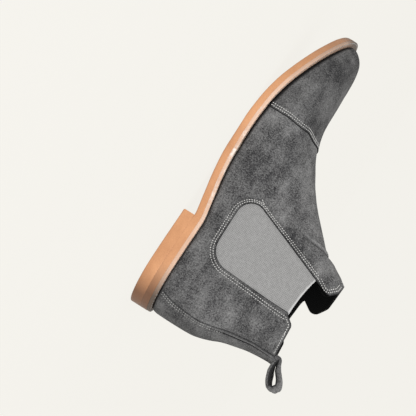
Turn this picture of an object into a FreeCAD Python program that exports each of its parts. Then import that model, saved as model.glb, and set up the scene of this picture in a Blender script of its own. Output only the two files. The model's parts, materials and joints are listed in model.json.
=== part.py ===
"""Chelsea boot for the left foot, as an assembly of separate pieces.

Units are millimetres. The toe points to -Y, the heel to +Y, the outer
(lateral) flank to +X and +Z is up. The boot stands on the ground z = 0 and
the outsole is centred on the origin.
"""
import math
import os

import FreeCAD
import Part

Vector = FreeCAD.Vector

# ---- driving dimensions -------------------------------------------------
SOLE_LENGTH = 308.0        # outsole, toe tip to heel back
BALL_WIDTH = 106.0         # outsole at its widest
TOE_SPRING = 33.0          # rise of the outsole's underside at the toe tip
HEEL_HEIGHT = 10.2         # heel block, ground to outsole
SHAFT_HEIGHT = 123.0       # ground to the top of the quarters, at the back
HEEL_BREAST = 77.0         # y of the heel block's front face
BREAST_HOLLOW = 3.5        # depth of the hollow in that face
BREAST_HALF = 30.0         # half width of the hollow

OUTSOLE_T = 5.4
TREAD_T = 0.4              # tread under the outsole, flattened where it stands
WELT_T = 3.0
WELT_WIDTH = 13.0          # width of the welt strip, inwards from the edge
WELT_INSET = 0.4           # welt edge behind the outsole edge
LEDGE = 3.6                # outsole edge to the foot of the upper, sides
TOE_LEDGE = 6.0            # the same at the toe tip
HEEL_LEDGE = 3.4           # the same at the heel

SUEDE_T = 1.4              # outer suede
MIDDLE_T = 1.0             # gore, toe puff, counter and interlining
LINING_T = 1.0
GLUE = 0.1                 # gap between layers that are cemented together
MIDDLE_DROP = 1.8          # topline to the top edge of the middle layer

INSOLE_T = 2.4
FOOTBED_T = 3.2
EDGE_GAP = 0.3             # insole, cork and footbed inside their surrounds
CORK_GAP = 0.3
SHANK_LENGTH = 105.0
SHANK_WIDTH = 14.0
SHANK_T = 1.2
SHANK_GAP = 0.2
SHANK_CENTRE_Y = 62.0
SHANK_BED = 0.7            # cork under the shank

GORE_LAP = 8.0             # gore sewn behind the edge of its opening
SEAM_GAP = 0.15            # cut edges that meet at a seam
STRIP_TOP = 10.0           # half width of the back strip at the top
STRIP_FOOT = 24.0          # half width of the back strip at the welt
# Half width of the back strip at heights over its foot.
STRIP_EDGE = [(STRIP_FOOT, 0.0), (21.0, 17.0), (19.5, 35.0), (17.0, 54.0), (13.0, 84.0)]

NAIL_D = 2.0
NAIL_HEAD_D = 4.2
NAIL_HEAD_T = 0.8
NAIL_LENGTH = 13.0
NAIL_GAP = 0.1
NAIL_RING = 20.0           # radius of the horseshoe of nails
NAIL_RING_Y = 118.0
NAIL_STEP = 50.0           # degrees between nails
NAIL_START = -10.0

LOOP_WIDTH = 14.0          # ribbon of the pull loop
LOOP_T = 2.2               # folded suede
LOOP_LENGTH = 25.5         # hinge line to the end of the loop
LOOP_BULGE = 12.0          # the loop across its widest place
LOOP_ROOT = 5.0            # hinge line to where the two plies part
LOOP_LEAN = 30.0           # degrees the loop stands back from the ground
LOOP_CLEAR = 0.5           # moving loop to the topline
ANCHOR_LENGTH = 14.0       # end of the loop sewn between suede and lining
NECK = 0.3                 # half gap between the plies where they part
TOP_RISE = 0.5             # topline at the hinge over the height of the shaft

# ---- size ratios against the last that the tables below describe --------
LAST_LENGTH = 308.0
LAST_BALL = 106.0
LAST_HEEL = 10.2
LAST_SPRING = 33.0
LAST_SHAFT = 123.0
HALF = LAST_LENGTH / 2
SX = BALL_WIDTH / LAST_BALL
SY = SOLE_LENGTH / LAST_LENGTH
LIFT = HEEL_HEIGHT - LAST_HEEL
SZ = (SHAFT_HEIGHT - LIFT) / LAST_SHAFT
STACK = OUTSOLE_T + WELT_T + GLUE
LAST_STACK = 8.5
TOP = 148.0                # height at which the last is cut off flat
REACH = 90.0               # half width of the cutting prisms
BELOW = -12.0              # floor of the cutting prisms


def curve(points):
    """Return a smooth monotone function through the (x, y) points."""
    xs = [p[0] for p in points]
    ys = [p[1] for p in points]
    step = [b - a for a, b in zip(xs, xs[1:])]
    rise = [(b - a) / h for a, b, h in zip(ys, ys[1:], step)]
    slope = [rise[0]]
    for left, right, h0, h1 in zip(rise, rise[1:], step, step[1:]):
        if left * right <= 0:
            slope.append(0.0)
            continue
        w0 = 2 * h1 + h0
        w1 = h1 + 2 * h0
        slope.append((w0 + w1) / (w0 / left + w1 / right))
    slope.append(rise[-1])

    def value(x):
        if x <= xs[0]:
            return ys[0]
        if x >= xs[-1]:
            return ys[-1]
        i = max(k for k in range(len(step)) if xs[k] <= x)
        t = (x - xs[i]) / step[i]
        start = (1 + 2 * t) * (1 - t) ** 2 * ys[i] + t * (1 - t) ** 2 * step[i] * slope[i]
        end = t * t * (3 - 2 * t) * ys[i + 1] - t * t * (1 - t) * step[i] * slope[i + 1]
        return start + end

    return value


# ---- the last: rise of the sole, side profile, plan widths --------------
# Share of the toe spring (y < 0) and of the heel height (y > 0) along y.
SPRING = curve([(-154, 1.0), (-135, 0.82), (-115, 0.65), (-95, 0.475), (-75, 0.302),
                (-55, 0.152), (-35, 0.055), (-15, 0.01), (0, 0.0)])
ARCH = curve([(0, 0.0), (18, 0.07), (38, 0.3), (58, 0.66), (80, 1.0), (154, 1.0)])

# Half width of the outsole along its length, u = 0 at the toe, 1 at the heel;
# the plan narrows to a round end by the sine of the section angle.
SOLE_LATERAL = curve([(0, 68), (0.07, 66.5), (0.155, 63.5), (0.25, 59.5), (0.335, 56), (0.43, 49.5),
                      (0.53, 42), (0.65, 39), (0.78, 43), (0.88, 52), (0.945, 62), (1, 68)])
SOLE_MEDIAL = curve([(0, 64), (0.065, 63), (0.145, 61.5), (0.24, 59), (0.3, 56.5), (0.385, 47.5),
                     (0.5, 35), (0.6, 31), (0.7, 34), (0.8, 43), (0.88, 52), (0.945, 62), (1, 68)])
# The plan's middle line swings to the inner side at the toe.
MIDDLE = curve([(-154, -8), (-125, -5.2), (-95, -2), (-55, 0), (154, 0)])

# Front ridge and back line of the upper in side view, as (y, z).
RIDGE = [(-144.8, 44.8), (-142.3, 47.3), (-138.4, 50.1), (-133.6, 52.4), (-125, 54.2), (-100, 55.6),
         (-72, 56.6), (-60, 57.6), (-51, 59.3), (-40, 62.8), (-31.5, 66.6), (-22.5, 71.4), (-9, 79.4),
         (4.6, 89.2), (23.6, 105.8), (36, 117.4), (40.5, 126), (45.5, 134), (51.5, 142), (55, 148)]
BACK = [(151.4, 35), (151.5, 45), (150.8, 56), (149.2, 63.5), (146.3, 72), (143, 80), (139.8, 92),
        (137, 104), (135.7, 116), (135.4, 123), (134, 148)]
SECTION_V = (0.12, 0.25, 0.35, 0.5, 0.7, 1.0)
SECTION_U = (0, 0.08, 0.2, 0.35, 0.5, 0.65, 0.8, 0.9, 1.0)
# Half widths of the upper at those heights v and lengths u; v = 0 follows the outsole.
LATERAL = [(66, 65, 59, 51, 42, 37.5, 41.5, 51, 66),
           (48, 51, 48, 40.7, 37.2, 35.6, 41.2, 48.3, 62),
           (31, 32.5, 37, 35.6, 33.3, 34, 39.4, 43.3, 54),
           (31, 32, 33.5, 33, 31.5, 32.5, 36.6, 39, 45),
           (30, 32, 32.5, 31.8, 31.2, 31.2, 32.3, 34, 37),
           (29, 30.5, 31, 31.5, 31.5, 31.5, 31, 31, 31)]
MEDIAL = [(63, 62, 58.5, 49, 36.5, 32.5, 39.5, 51, 66),
          (47, 50, 48, 41, 36.5, 34.5, 40.5, 48, 62),
          (31, 32.5, 37, 36, 34, 34, 39, 43, 54),
          (31, 32, 33.5, 33, 31.5, 32.5, 36.6, 39, 45),
          (30, 32, 32.5, 31.8, 31.2, 31.2, 32.3, 34, 37),
          (29, 30.5, 31, 31.5, 31.5, 31.5, 31, 31, 31)]

# ---- pattern lines in side view, on the last, as (y, z, corner radius) --
GORE = [(68, 120, 0), (35, 36.5, 13), (100.5, 37.5, 18), (104.7, 115.5, 0)]
TAB = [(68, 120, 0), (74, 131, 6), (63, 139.5, 5), (40, 143, 0)]
QUARTER_TOP = [(104.7, 115.5, 0), (110, 121.5, 5), (140, 123.5, 0)]
CAP_LINE = [(-33.6, 4), (-32.8, 26), (-34.2, 44), (-37, 52), (-43, 64)]
SIDE_SEAM = 66.0           # y of the seam under the gore
GORE_MIDDLE = 84.0         # y inside the opening, behind the front tab
GORE_TURN = 60.0           # height inside the opening
PUFF_EDGE = -40.0          # y where the toe puff ends
COUNTER_TOP = [(96, 10), (100, 40), (118, 60), (160, 66)]


def underside(y):
    """Height of the outsole's underside at y on the last."""
    if y < 0:
        return TOE_SPRING * SPRING(y)
    return HEEL_HEIGHT * ARCH(y)


def feather(y):
    """Height of the welt's top, where the upper starts."""
    return underside(y) + STACK


def last_feather(y):
    """The same on the last as tabled, to turn heights into shares v."""
    if y < 0:
        return LAST_SPRING * SPRING(y) + LAST_STACK
    return LAST_HEEL * ARCH(y) + LAST_STACK


def share(y, z):
    base = last_feather(y)
    return (z - base) / (TOP - base)


def ends():
    """Front and back ends of the upper's sections as functions of v."""
    front = [(0.0, -HALF + TOE_LEDGE)] + [(share(y, z), y) for y, z in RIDGE]
    back = [(0.0, HALF - HEEL_LEDGE)] + [(share(y, z), y) for y, z in BACK]
    return curve(front), curve(back)


FRONT_END, BACK_END = ends()
WIDTHS = {
    1: [curve(list(zip(SECTION_U, row))) for row in LATERAL],
    -1: [curve(list(zip(SECTION_U, row))) for row in MEDIAL],
}
FOOT = {1: SOLE_LATERAL, -1: SOLE_MEDIAL}


def half_width(v, u, flank):
    values = [FOOT[flank](u) - LEDGE] + [row(u) for row in WIDTHS[flank]]
    return curve(list(zip((0.0,) + SECTION_V, values)))(v)


def skin(angle, v):
    """Point of the upper's outside at a section angle and height share v."""
    front = FRONT_END(v)
    u = (1 - math.cos(angle)) / 2
    y = front + (BACK_END(v) - front) * u
    flank = 1 if math.sin(angle) >= 0 else -1
    x = MIDDLE(y) * (1 - v) + half_width(v, u, flank) * math.sin(angle)
    top = TOP * SZ + LIFT
    base = feather(y)
    return Vector(x * SX, y * SY, base + v * (top - base))


def inset_skin(angle, v, depth):
    """Point of the upper's skin moved inwards by a depth."""
    da = 0.02
    dv = 0.01
    low = max(v - dv, 0.0)
    high = min(v + dv, 1.0)
    along = skin(angle + da, v) - skin(angle - da, v)
    up = skin(angle, high) - skin(angle, low)
    normal = along.cross(up)
    normal.normalize()
    return skin(angle, v) - normal * depth


RING_V = (0.0, 0.02, 0.05, 0.09, 0.13, 0.17, 0.21, 0.25, 0.29, 0.33, 0.38, 0.45, 0.53, 0.62,
          0.72, 0.82, 0.91)
RING_POINTS = 48
DEGREE = 3
SPARE = 2.0                # run of an inner body past the outer one's ends


def ring(points):
    spline = Part.BSplineCurve()
    spline.interpolate(Points=points, PeriodicFlag=True)
    return Part.Wire(spline.toShape())


def tube(rows):
    """Face through closed rows of poles, periodic around, clamped at both ends."""
    around = len(rows[0])
    inner = len(rows) - DEGREE - 1
    poles = [[row[k] for row in rows] for k in range(around)]
    surface = Part.BSplineSurface()
    surface.buildFromPolesMultsKnots(
        poles, [1] * (around + 1), [DEGREE + 1] + [1] * inner + [DEGREE + 1],
        list(range(around + 1)), list(range(inner + 2)), True, False, DEGREE, DEGREE)
    return surface.toShape()


def body(depth, spare):
    """Solid bounded by the skin at a depth, running spare past both ends."""
    angles = [2 * math.pi * k / RING_POINTS for k in range(RING_POINTS)]
    foot = [inset_skin(a, 0.0, depth) for a in angles]
    floor = BELOW - spare
    top = TOP * SZ + LIFT + spare
    rows = [[Vector(p.x, p.y, floor) for p in foot]]
    rows.append([Vector(p.x, p.y, floor * 0.6 + p.z * 0.4) for p in foot])
    rows.append([Vector(p.x, p.y, floor * 0.1 + p.z * 0.9) for p in foot])
    rows.extend([inset_skin(a, v, depth) for a in angles] for v in RING_V)
    rows.append([Vector(p.x, p.y, top) for p in (inset_skin(a, 1.0, depth) for a in angles)])
    side = tube(rows)
    rims = [edge for edge in side.Edges if abs(edge.BoundBox.ZLength) < 0.001]
    caps = [Part.Face(Part.Wire(edge)) for edge in rims]
    shell = Part.makeShell([side] + caps)
    shell.sewShape()
    return Part.makeSolid(shell)


def layer(outer, thickness):
    """Closed skin of the upper between two depths."""
    return body(outer, 0.0).cut(body(outer + thickness, SPARE))


# ---- cutting prisms ------------------------------------------------------
def place(y, z):
    """Side view position on the last to a position on this boot."""
    return y * SY, z * SZ + LIFT


def prism(wire, x0, x1):
    """Prism along X from a wire drawn in the plane x = 0."""
    face = Part.Face(wire)
    face.translate(Vector(x0, 0, 0))
    return face.extrude(Vector(x1 - x0, 0, 0))


def rounded(corners):
    """Closed wire through (y, z, radius) corners with tangent arcs."""
    spots = [Vector(0, *place(y, z)) for y, z, _ in corners]
    edges = []
    starts = []
    finishes = []
    for i, (_, _, radius) in enumerate(corners):
        spot = spots[i]
        back = (spots[i - 1] - spot).normalize()
        ahead = (spots[(i + 1) % len(spots)] - spot).normalize()
        if radius == 0:
            starts.append(spot)
            finishes.append(spot)
            continue
        half = back.getAngle(ahead) / 2
        run = radius / math.tan(half)
        middle = (back + ahead).normalize()
        near = spot + middle * (radius / math.sin(half) - radius)
        starts.append(spot + back * run)
        finishes.append(spot + ahead * run)
        edges.append(Part.Arc(starts[-1], near, finishes[-1]).toShape())
    for i, finish in enumerate(finishes):
        start = starts[(i + 1) % len(starts)]
        edges.append(Part.makeLine(finish, start))
    return Part.Wire(Part.sortEdges(edges)[0])


def line_region(points, far, axis):
    """Region on one side of a spline through side view (y, z) points.

    axis 'y' closes the region at y = far, axis 'z' at z = far.
    """
    spots = [Vector(0, y, z) for y, z in points]
    spline = Part.BSplineCurve()
    spline.interpolate(Points=spots)
    first = spots[0]
    last = spots[-1]
    if axis == 'y':
        corners = [last, Vector(0, far, last.z), Vector(0, far, first.z), first]
    else:
        corners = [last, Vector(0, last.y, far), Vector(0, first.y, far), first]
    sides = [Part.makeLine(a, b) for a, b in zip(corners, corners[1:])]
    return Part.Wire([spline.toShape()] + sides)


def above_line(height, x0=-REACH, x1=REACH):
    """Everything above a height function of y on the last."""
    stations = [-160, -135, -115, -95, -75, -55, -35, -15, 0, 18, 38, 58, 70, 80, 95, 120, 160]
    points = [(y * SY, height(y)) for y in stations]
    return prism(line_region(points, 220.0, 'z'), x0, x1)


def box(x0, x1, y0, y1, z0, z1):
    return Part.makeBox(x1 - x0, y1 - y0, z1 - z0, Vector(x0, y0, z0))


# ---- upper ---------------------------------------------------------------
def under_topline(drop):
    """Everything that lies lower than the top edge of the shaft by a drop."""
    corners = TAB[::-1] + QUARTER_TOP[:-1] + [(170, 124.5, 0), (170, -15, 0), (-170, -15, 0), (-170, 143, 0)]
    corners = [c for i, c in enumerate(corners) if i == 0 or c[:2] != corners[i - 1][:2]]
    space = prism(rounded(corners), -REACH, REACH)
    space.translate(Vector(0, 0, -drop))
    return space


def gore_opening(grow, x0, x1):
    """Window of the gore, open at the top, grown outwards on all edges."""
    (fy, fz, _), (ay, az, ar), (by, bz, br), (cy, cz, _) = GORE
    lean = (fy - ay) / (fz - az)
    reach = 40.0
    corners = [(fy + lean * reach - grow, fz + reach, 0), (ay - grow, az - grow, ar + grow),
               (by + grow, bz - grow, br + grow), (cy + grow, cz + reach, 0)]
    return prism(rounded(corners), x0, x1)


def cap_space(shift):
    """Everything ahead of the toe cap's edge, the edge moved by shift."""
    points = [(y * SY + shift, place(y, z)[1]) for y, z in CAP_LINE]
    low = (points[0][0], BELOW)
    high = (points[-1][0] - 12, points[-1][1] + 20)
    return prism(line_region([low] + points + [high], -200.0, 'y'), -REACH, REACH)


def strip_space(grow):
    """The back strip's outline, drawn from behind and run forwards."""
    top = TOP * SZ + LIFT
    foot = feather(HALF) - 2
    shaft = SHAFT_HEIGHT
    right = [(x, foot + rise) for x, rise in STRIP_EDGE] + [(STRIP_TOP, shaft), (STRIP_TOP, top)]
    spots = [Vector(x + grow, 100 * SY, z) for x, z in right]
    mirror = [Vector(-p.x, p.y, p.z) for p in spots]
    edges = []
    for side in (spots, mirror):
        spline = Part.BSplineCurve()
        spline.interpolate(Points=side)
        edges.append(spline.toShape())
    edges.append(Part.makeLine(spots[-1], mirror[-1]))
    edges.append(Part.makeLine(spots[0], mirror[0]))
    face = Part.Face(Part.Wire(Part.sortEdges(edges)[0]))
    return face.extrude(Vector(0, 80, 0))


def counter_space(shift):
    """Cup around the heel under the counter's top line."""
    points = [(y * SY - shift, place(y, z)[1] + shift) for y, z in COUNTER_TOP]
    wire = line_region(points, BELOW, 'z')
    return prism(wire, -REACH, REACH)


def half_space(side, gap):
    if side > 0:
        return box(gap, REACH, -200, 200, BELOW - 5, 200)
    return box(-REACH, -gap, -200, 200, BELOW - 5, 200)


def rear_space(shift):
    """Everything behind the side seam, which runs up into the gore opening.

    Over the seam the split lies inside the opening, so that the front tab
    stays one piece with the vamp.
    """
    low = SIDE_SEAM * SY + shift
    high = GORE_MIDDLE * SY + shift
    turn = place(0, GORE_TURN)[1]
    spots = [(low, BELOW - 5), (low, turn), (high, turn), (high, 200), (200, 200), (200, BELOW - 5)]
    wire = Part.makePolygon([Vector(0, y, z) for y, z in spots + spots[:1]])
    return prism(wire, -REACH, REACH)


def ahead_of(y):
    return box(-REACH, REACH, -200, y, BELOW - 5, 200)


def behind(y):
    return box(-REACH, REACH, y, 200, BELOW - 5, 200)


def build_outer(parts, room):
    """Suede panels, all in one skin, cut where their seams run."""
    suede = layer(0.0, SUEDE_T).common(room)
    opened = suede.cut(gore_opening(0.0, -REACH, REACH))
    parts['toe_cap'] = opened.common(cap_space(-SEAM_GAP / 2))
    parts['vamp'] = opened.cut(cap_space(SEAM_GAP / 2)).cut(rear_space(-SEAM_GAP / 2))
    rear = opened.common(rear_space(SEAM_GAP / 2))
    parts['back_strip'] = rear.common(strip_space(0.0))
    quarters = rear.cut(strip_space(SEAM_GAP))
    parts['quarter_lateral'] = quarters.common(half_space(1, 1.0))
    parts['quarter_medial'] = quarters.common(half_space(-1, 1.0))


def build_middle(parts, room):
    """Gores, stiffeners and interlinings between suede and lining."""
    skin_middle = layer(SUEDE_T + GLUE, MIDDLE_T).common(room)
    panel = gore_opening(GORE_LAP, -REACH, REACH)
    gores = skin_middle.common(panel)
    parts['gore_lateral'] = gores.common(half_space(1, 8.0))
    parts['gore_medial'] = gores.common(half_space(-1, 8.0))
    rest = skin_middle.cut(gore_opening(GORE_LAP + EDGE_GAP, -REACH, REACH))
    puff = PUFF_EDGE * SY
    parts['toe_puff'] = rest.common(ahead_of(puff))
    parts['vamp_interlining'] = rest.common(behind(puff + EDGE_GAP)).cut(rear_space(-EDGE_GAP))
    rear = rest.common(rear_space(0.0))
    parts['heel_counter'] = rear.common(counter_space(0.0))
    upper_rear = rear.cut(counter_space(EDGE_GAP))
    parts['quarter_interlining'] = upper_rear.cut(anchor_window(EDGE_GAP))
    parts['loop_anchor'] = upper_rear.common(anchor_window(0.0))


def build_lining(parts, room):
    skin_inner = layer(SUEDE_T + MIDDLE_T + 2 * GLUE, LINING_T).common(room)
    parts['vamp_lining'] = skin_inner.cut(rear_space(-SEAM_GAP / 2))
    parts['quarter_lining'] = skin_inner.common(rear_space(SEAM_GAP / 2))


# ---- sole ----------------------------------------------------------------
def sole_plan(inset):
    """Column over the outsole's plan, inset all round."""
    points = []
    for k in range(RING_POINTS):
        angle = 2 * math.pi * k / RING_POINTS
        u = (1 - math.cos(angle)) / 2
        y = -HALF + LAST_LENGTH * u
        flank = 1 if math.sin(angle) >= 0 else -1
        x = MIDDLE(y) * SX + (FOOT[flank](u) * SX - inset) * math.sin(angle)
        points.append(Vector(x, y * SY + inset * math.cos(angle), BELOW))
    return Part.Face(ring(points)).extrude(Vector(0, 0, 120))


def slab(column, low, high):
    """The part of a column between two offsets from the underside line."""
    above = above_line(lambda y: underside(y) + low)
    over = above_line(lambda y: underside(y) + high)
    return column.common(above).cut(over)


def build_sole(parts):
    nails = nail_columns(NAIL_GAP)
    outsole = slab(sole_plan(0.0), -TREAD_T, OUTSOLE_T)
    ground = box(-REACH, REACH, -200, 200, 2 * BELOW, 0)
    parts['outsole'] = outsole.cut(ground).cut(nails)
    rim = sole_plan(WELT_INSET).cut(sole_plan(WELT_WIDTH))
    parts['welt'] = slab(rim, OUTSOLE_T + GLUE, STACK)
    core = sole_plan(WELT_WIDTH + CORK_GAP)
    cork = slab(core, OUTSOLE_T + GLUE, STACK)
    parts['cork_filler'] = cork.cut(shank_slab(SHANK_GAP)).cut(nails)
    parts['shank'] = shank_slab(0.0)
    inner = SUEDE_T + MIDDLE_T + LINING_T + 2 * GLUE + EDGE_GAP
    base = STACK + GLUE
    parts['insole_board'] = slab(body(inner, SPARE), base, base + INSOLE_T)
    top = base + INSOLE_T + GLUE
    parts['footbed'] = slab(body(inner + EDGE_GAP, SPARE), top, top + FOOTBED_T)


def shank_slab(grow):
    """Spring steel strip in the cork, under the arch."""
    y0 = (SHANK_CENTRE_Y - SHANK_LENGTH / 2) * SY - grow
    y1 = (SHANK_CENTRE_Y + SHANK_LENGTH / 2) * SY + grow
    half = SHANK_WIDTH / 2 + grow
    strip = box(-half, half, y0, y1, BELOW, 60)
    low = OUTSOLE_T + 2 * GLUE + SHANK_BED
    return slab(strip, low - grow, low + SHANK_T + grow)


def build_heel(parts):
    """Heel block under the seat, with a hollowed front face."""
    column = sole_plan(0.0)
    below = column.cut(above_line(lambda y: underside(y) - TREAD_T - GLUE))
    breast = HEEL_BREAST * SY
    block = below.common(box(-REACH, REACH, breast, 200, 0, 60))
    radius = (BREAST_HALF ** 2 + BREAST_HOLLOW ** 2) / (2 * BREAST_HOLLOW)
    scoop = Part.makeCylinder(radius, 60, Vector(0, breast + BREAST_HOLLOW - radius, -20))
    parts['heel_block'] = block.cut(scoop).cut(nail_columns(NAIL_GAP))


def nail_places():
    """Plan positions of the five heel nails, in a horseshoe."""
    middle = NAIL_RING_Y * SY
    spots = []
    for k in range(5):
        angle = math.radians(NAIL_START + NAIL_STEP * k)
        spots.append((NAIL_RING * SX * math.cos(angle), middle + NAIL_RING * math.sin(angle)))
    return spots


def nail(x, y, grow):
    top = feather(y / SY) - WELT_T - GLUE
    shaft = Part.makeCylinder(NAIL_D / 2 + grow, NAIL_LENGTH + grow, Vector(x, y, top - NAIL_LENGTH - grow))
    head = Part.makeCylinder(NAIL_HEAD_D / 2 + grow, NAIL_HEAD_T + grow, Vector(x, y, top - NAIL_HEAD_T - grow))
    return shaft.fuse(head).removeSplitter()


def nail_columns(grow):
    columns = [nail(x, y, grow) for x, y in nail_places()]
    return Part.makeCompound(columns)


def build_nails(parts):
    for k, (x, y) in enumerate(nail_places()):
        parts['heel_nail_%d' % (k + 1)] = nail(x, y, 0.0)


# ---- pull loop -----------------------------------------------------------
def anchor_window(grow):
    """Room for the loop's sewn ends, at the top of the back."""
    half = LOOP_WIDTH / 2 + grow
    top = SHAFT_HEIGHT
    return box(-half, half, 100 * SY, 200, top - ANCHOR_LENGTH - grow, top + 20)


def hinge():
    """Line where the loop folds, over the topline between suede and lining."""
    y = BACK_END(share(HALF, LAST_SHAFT)) * SY - SUEDE_T - MIDDLE_T / 2
    return y, SHAFT_HEIGHT + TOP_RISE + LOOP_CLEAR + LOOP_T


def drop_wire(start, neck, half, reach):
    """Closed wire of a drop lying along +Y, from a neck to a round end."""
    length = reach - start
    steps = [(0.0, neck), (0.3, 0.7 * half), (0.62, half), (0.88, 0.68 * half), (1.0, 0.0)]
    upper = [(start + t * length, height) for t, height in steps]
    lower = [(a, -b) for a, b in reversed(upper[:-1])]
    spline = Part.BSplineCurve()
    spline.interpolate(Points=[Vector(0, a, b) for a, b in upper + lower])
    close = Part.makeLine(Vector(0, start, -neck), Vector(0, start, neck))
    return Part.Wire([spline.toShape(), close])


def build_loop(parts):
    """Ribbon of the pull loop, both plies joined at the hinge line."""
    y, z = hinge()
    half = LOOP_BULGE / 2
    outer = prism(drop_wire(0.0, LOOP_T, half, LOOP_LENGTH), -LOOP_WIDTH / 2, LOOP_WIDTH / 2)
    hole = drop_wire(LOOP_ROOT, NECK, half - LOOP_T, LOOP_LENGTH - LOOP_T)
    loop = outer.cut(prism(hole, -LOOP_WIDTH, LOOP_WIDTH))
    loop.rotate(Vector(0, 0, 0), Vector(1, 0, 0), LOOP_LEAN)
    loop.translate(Vector(0, y, z))
    parts['pull_loop'] = loop


def build():
    parts = {}
    upper = above_line(feather)
    room = upper.common(under_topline(0.0))
    build_outer(parts, room)
    build_middle(parts, upper.common(under_topline(MIDDLE_DROP)))
    build_lining(parts, room)
    build_sole(parts)
    build_heel(parts)
    build_nails(parts)
    build_loop(parts)
    return parts


def main():
    os.makedirs("parts", exist_ok=True)
    for name, shape in build().items():
        solids = [s for s in shape.Solids if s.Volume > 1.0]
        whole = solids[0] if len(solids) == 1 else Part.makeCompound(solids)
        whole.exportStep("parts/%s.step" % name)
        box_now = whole.BoundBox
        print("%-20s solids %d volume %9.1f  x %6.1f..%6.1f  y %7.1f..%7.1f  z %6.1f..%6.1f" % (
            name, len(solids), whole.Volume, box_now.XMin, box_now.XMax, box_now.YMin,
            box_now.YMax, box_now.ZMin, box_now.ZMax))


main()
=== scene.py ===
"""Chelsea boot for the left foot: suede upper, elastic gores, welted tan sole.

The skin of the upper is worked out on the same last as the solid parts, in
millimetres, and every mesh is handed to Blender in metres.
"""
import json
import logging
import math
from dataclasses import dataclass, field
from enum import Enum
from itertools import chain
from typing import Callable, Sequence

import bpy
import numpy as np
from mathutils import Matrix, Vector, noise


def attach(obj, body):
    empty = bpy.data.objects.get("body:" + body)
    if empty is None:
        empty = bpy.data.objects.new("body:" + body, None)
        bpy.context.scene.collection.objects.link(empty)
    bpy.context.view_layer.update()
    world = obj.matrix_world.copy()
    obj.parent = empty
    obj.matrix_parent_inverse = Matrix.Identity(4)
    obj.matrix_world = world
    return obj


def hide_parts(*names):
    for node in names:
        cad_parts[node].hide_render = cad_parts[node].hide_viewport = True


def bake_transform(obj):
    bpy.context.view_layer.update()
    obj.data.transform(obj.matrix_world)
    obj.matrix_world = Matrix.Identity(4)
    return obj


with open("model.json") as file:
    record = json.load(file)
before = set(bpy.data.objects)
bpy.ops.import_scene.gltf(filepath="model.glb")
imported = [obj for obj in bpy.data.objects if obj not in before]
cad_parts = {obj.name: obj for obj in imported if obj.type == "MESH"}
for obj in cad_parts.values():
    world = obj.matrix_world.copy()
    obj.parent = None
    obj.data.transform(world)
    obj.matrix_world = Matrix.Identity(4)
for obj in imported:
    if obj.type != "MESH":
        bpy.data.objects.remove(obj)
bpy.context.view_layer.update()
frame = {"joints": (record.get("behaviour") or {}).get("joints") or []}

LOG = logging.getLogger("chelsea_boot")
MM = 0.001
FAR = 1e9
TINY = 1e-12
BOOT = "boot"

Array = np.ndarray
Field = Callable[[Array], Array]
Pair = tuple[float, float]
Corner = tuple[float, float, float]


# ---- curves and outlines -------------------------------------------------
def monotone_slopes(x: Array, y: Array) -> Array:
    """Slopes of a smooth curve that never overshoots its points.

    Args:
        x: Stations, ascending.
        y: Values at the stations, along the first axis.

    Returns:
        The slope at each station, shaped as y.
    """
    step = np.diff(x).reshape((-1,) + (1,) * (y.ndim - 1))
    rise = np.diff(y, axis=0) / step
    slopes = np.empty_like(y)
    slopes[0] = rise[0]
    slopes[-1] = rise[-1]
    left, right = rise[:-1], rise[1:]
    w0 = 2 * step[1:] + step[:-1]
    w1 = step[1:] + 2 * step[:-1]
    same = left * right > 0
    safe_left = np.where(same, left, 1.0)
    safe_right = np.where(same, right, 1.0)
    mean = (w0 + w1) / (w0 / safe_left + w1 / safe_right)
    slopes[1:-1] = np.where(same, mean, 0.0)
    return slopes


class Curve:
    """Smooth monotone function through a few (x, y) points."""

    def __init__(self, points: Sequence[Pair]) -> None:
        """Keep the points and work out their slopes."""
        table = np.array(points, float)
        self.x = table[:, 0]
        self.y = table[:, 1]
        self.slope = monotone_slopes(self.x, self.y)

    def __call__(self, at: Array | float) -> Array:
        """Value at one or many stations, held level past both ends."""
        at = np.clip(np.asarray(at, float), self.x[0], self.x[-1])
        i = station_under(self.x, at)
        return hermite(self.x, i, at, (self.y[i], self.y[i + 1]), (self.slope[i], self.slope[i + 1]))


def station_under(x: Array, at: Array) -> Array:
    """Number of the station at or just under each place."""
    return np.clip(np.searchsorted(x, at, side="right") - 1, 0, len(x) - 2)


def hermite(x: Array, i: Array, at: Array, values: tuple[Array, Array], slopes: tuple[Array, Array]) -> Array:
    """Cubic between station i and the next.

    Args:
        x: Stations.
        i: Station just under each place.
        at: Where to evaluate.
        values: Values at the two stations.
        slopes: Slopes at the two stations.

    Returns:
        The values at those places.
    """
    step = x[i + 1] - x[i]
    t = (at - x[i]) / step
    start = (1 + 2 * t) * (1 - t) ** 2 * values[0] + t * (1 - t) ** 2 * step * slopes[0]
    end = t * t * (3 - 2 * t) * values[1] - t * t * (1 - t) * step * slopes[1]
    return start + end


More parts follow.
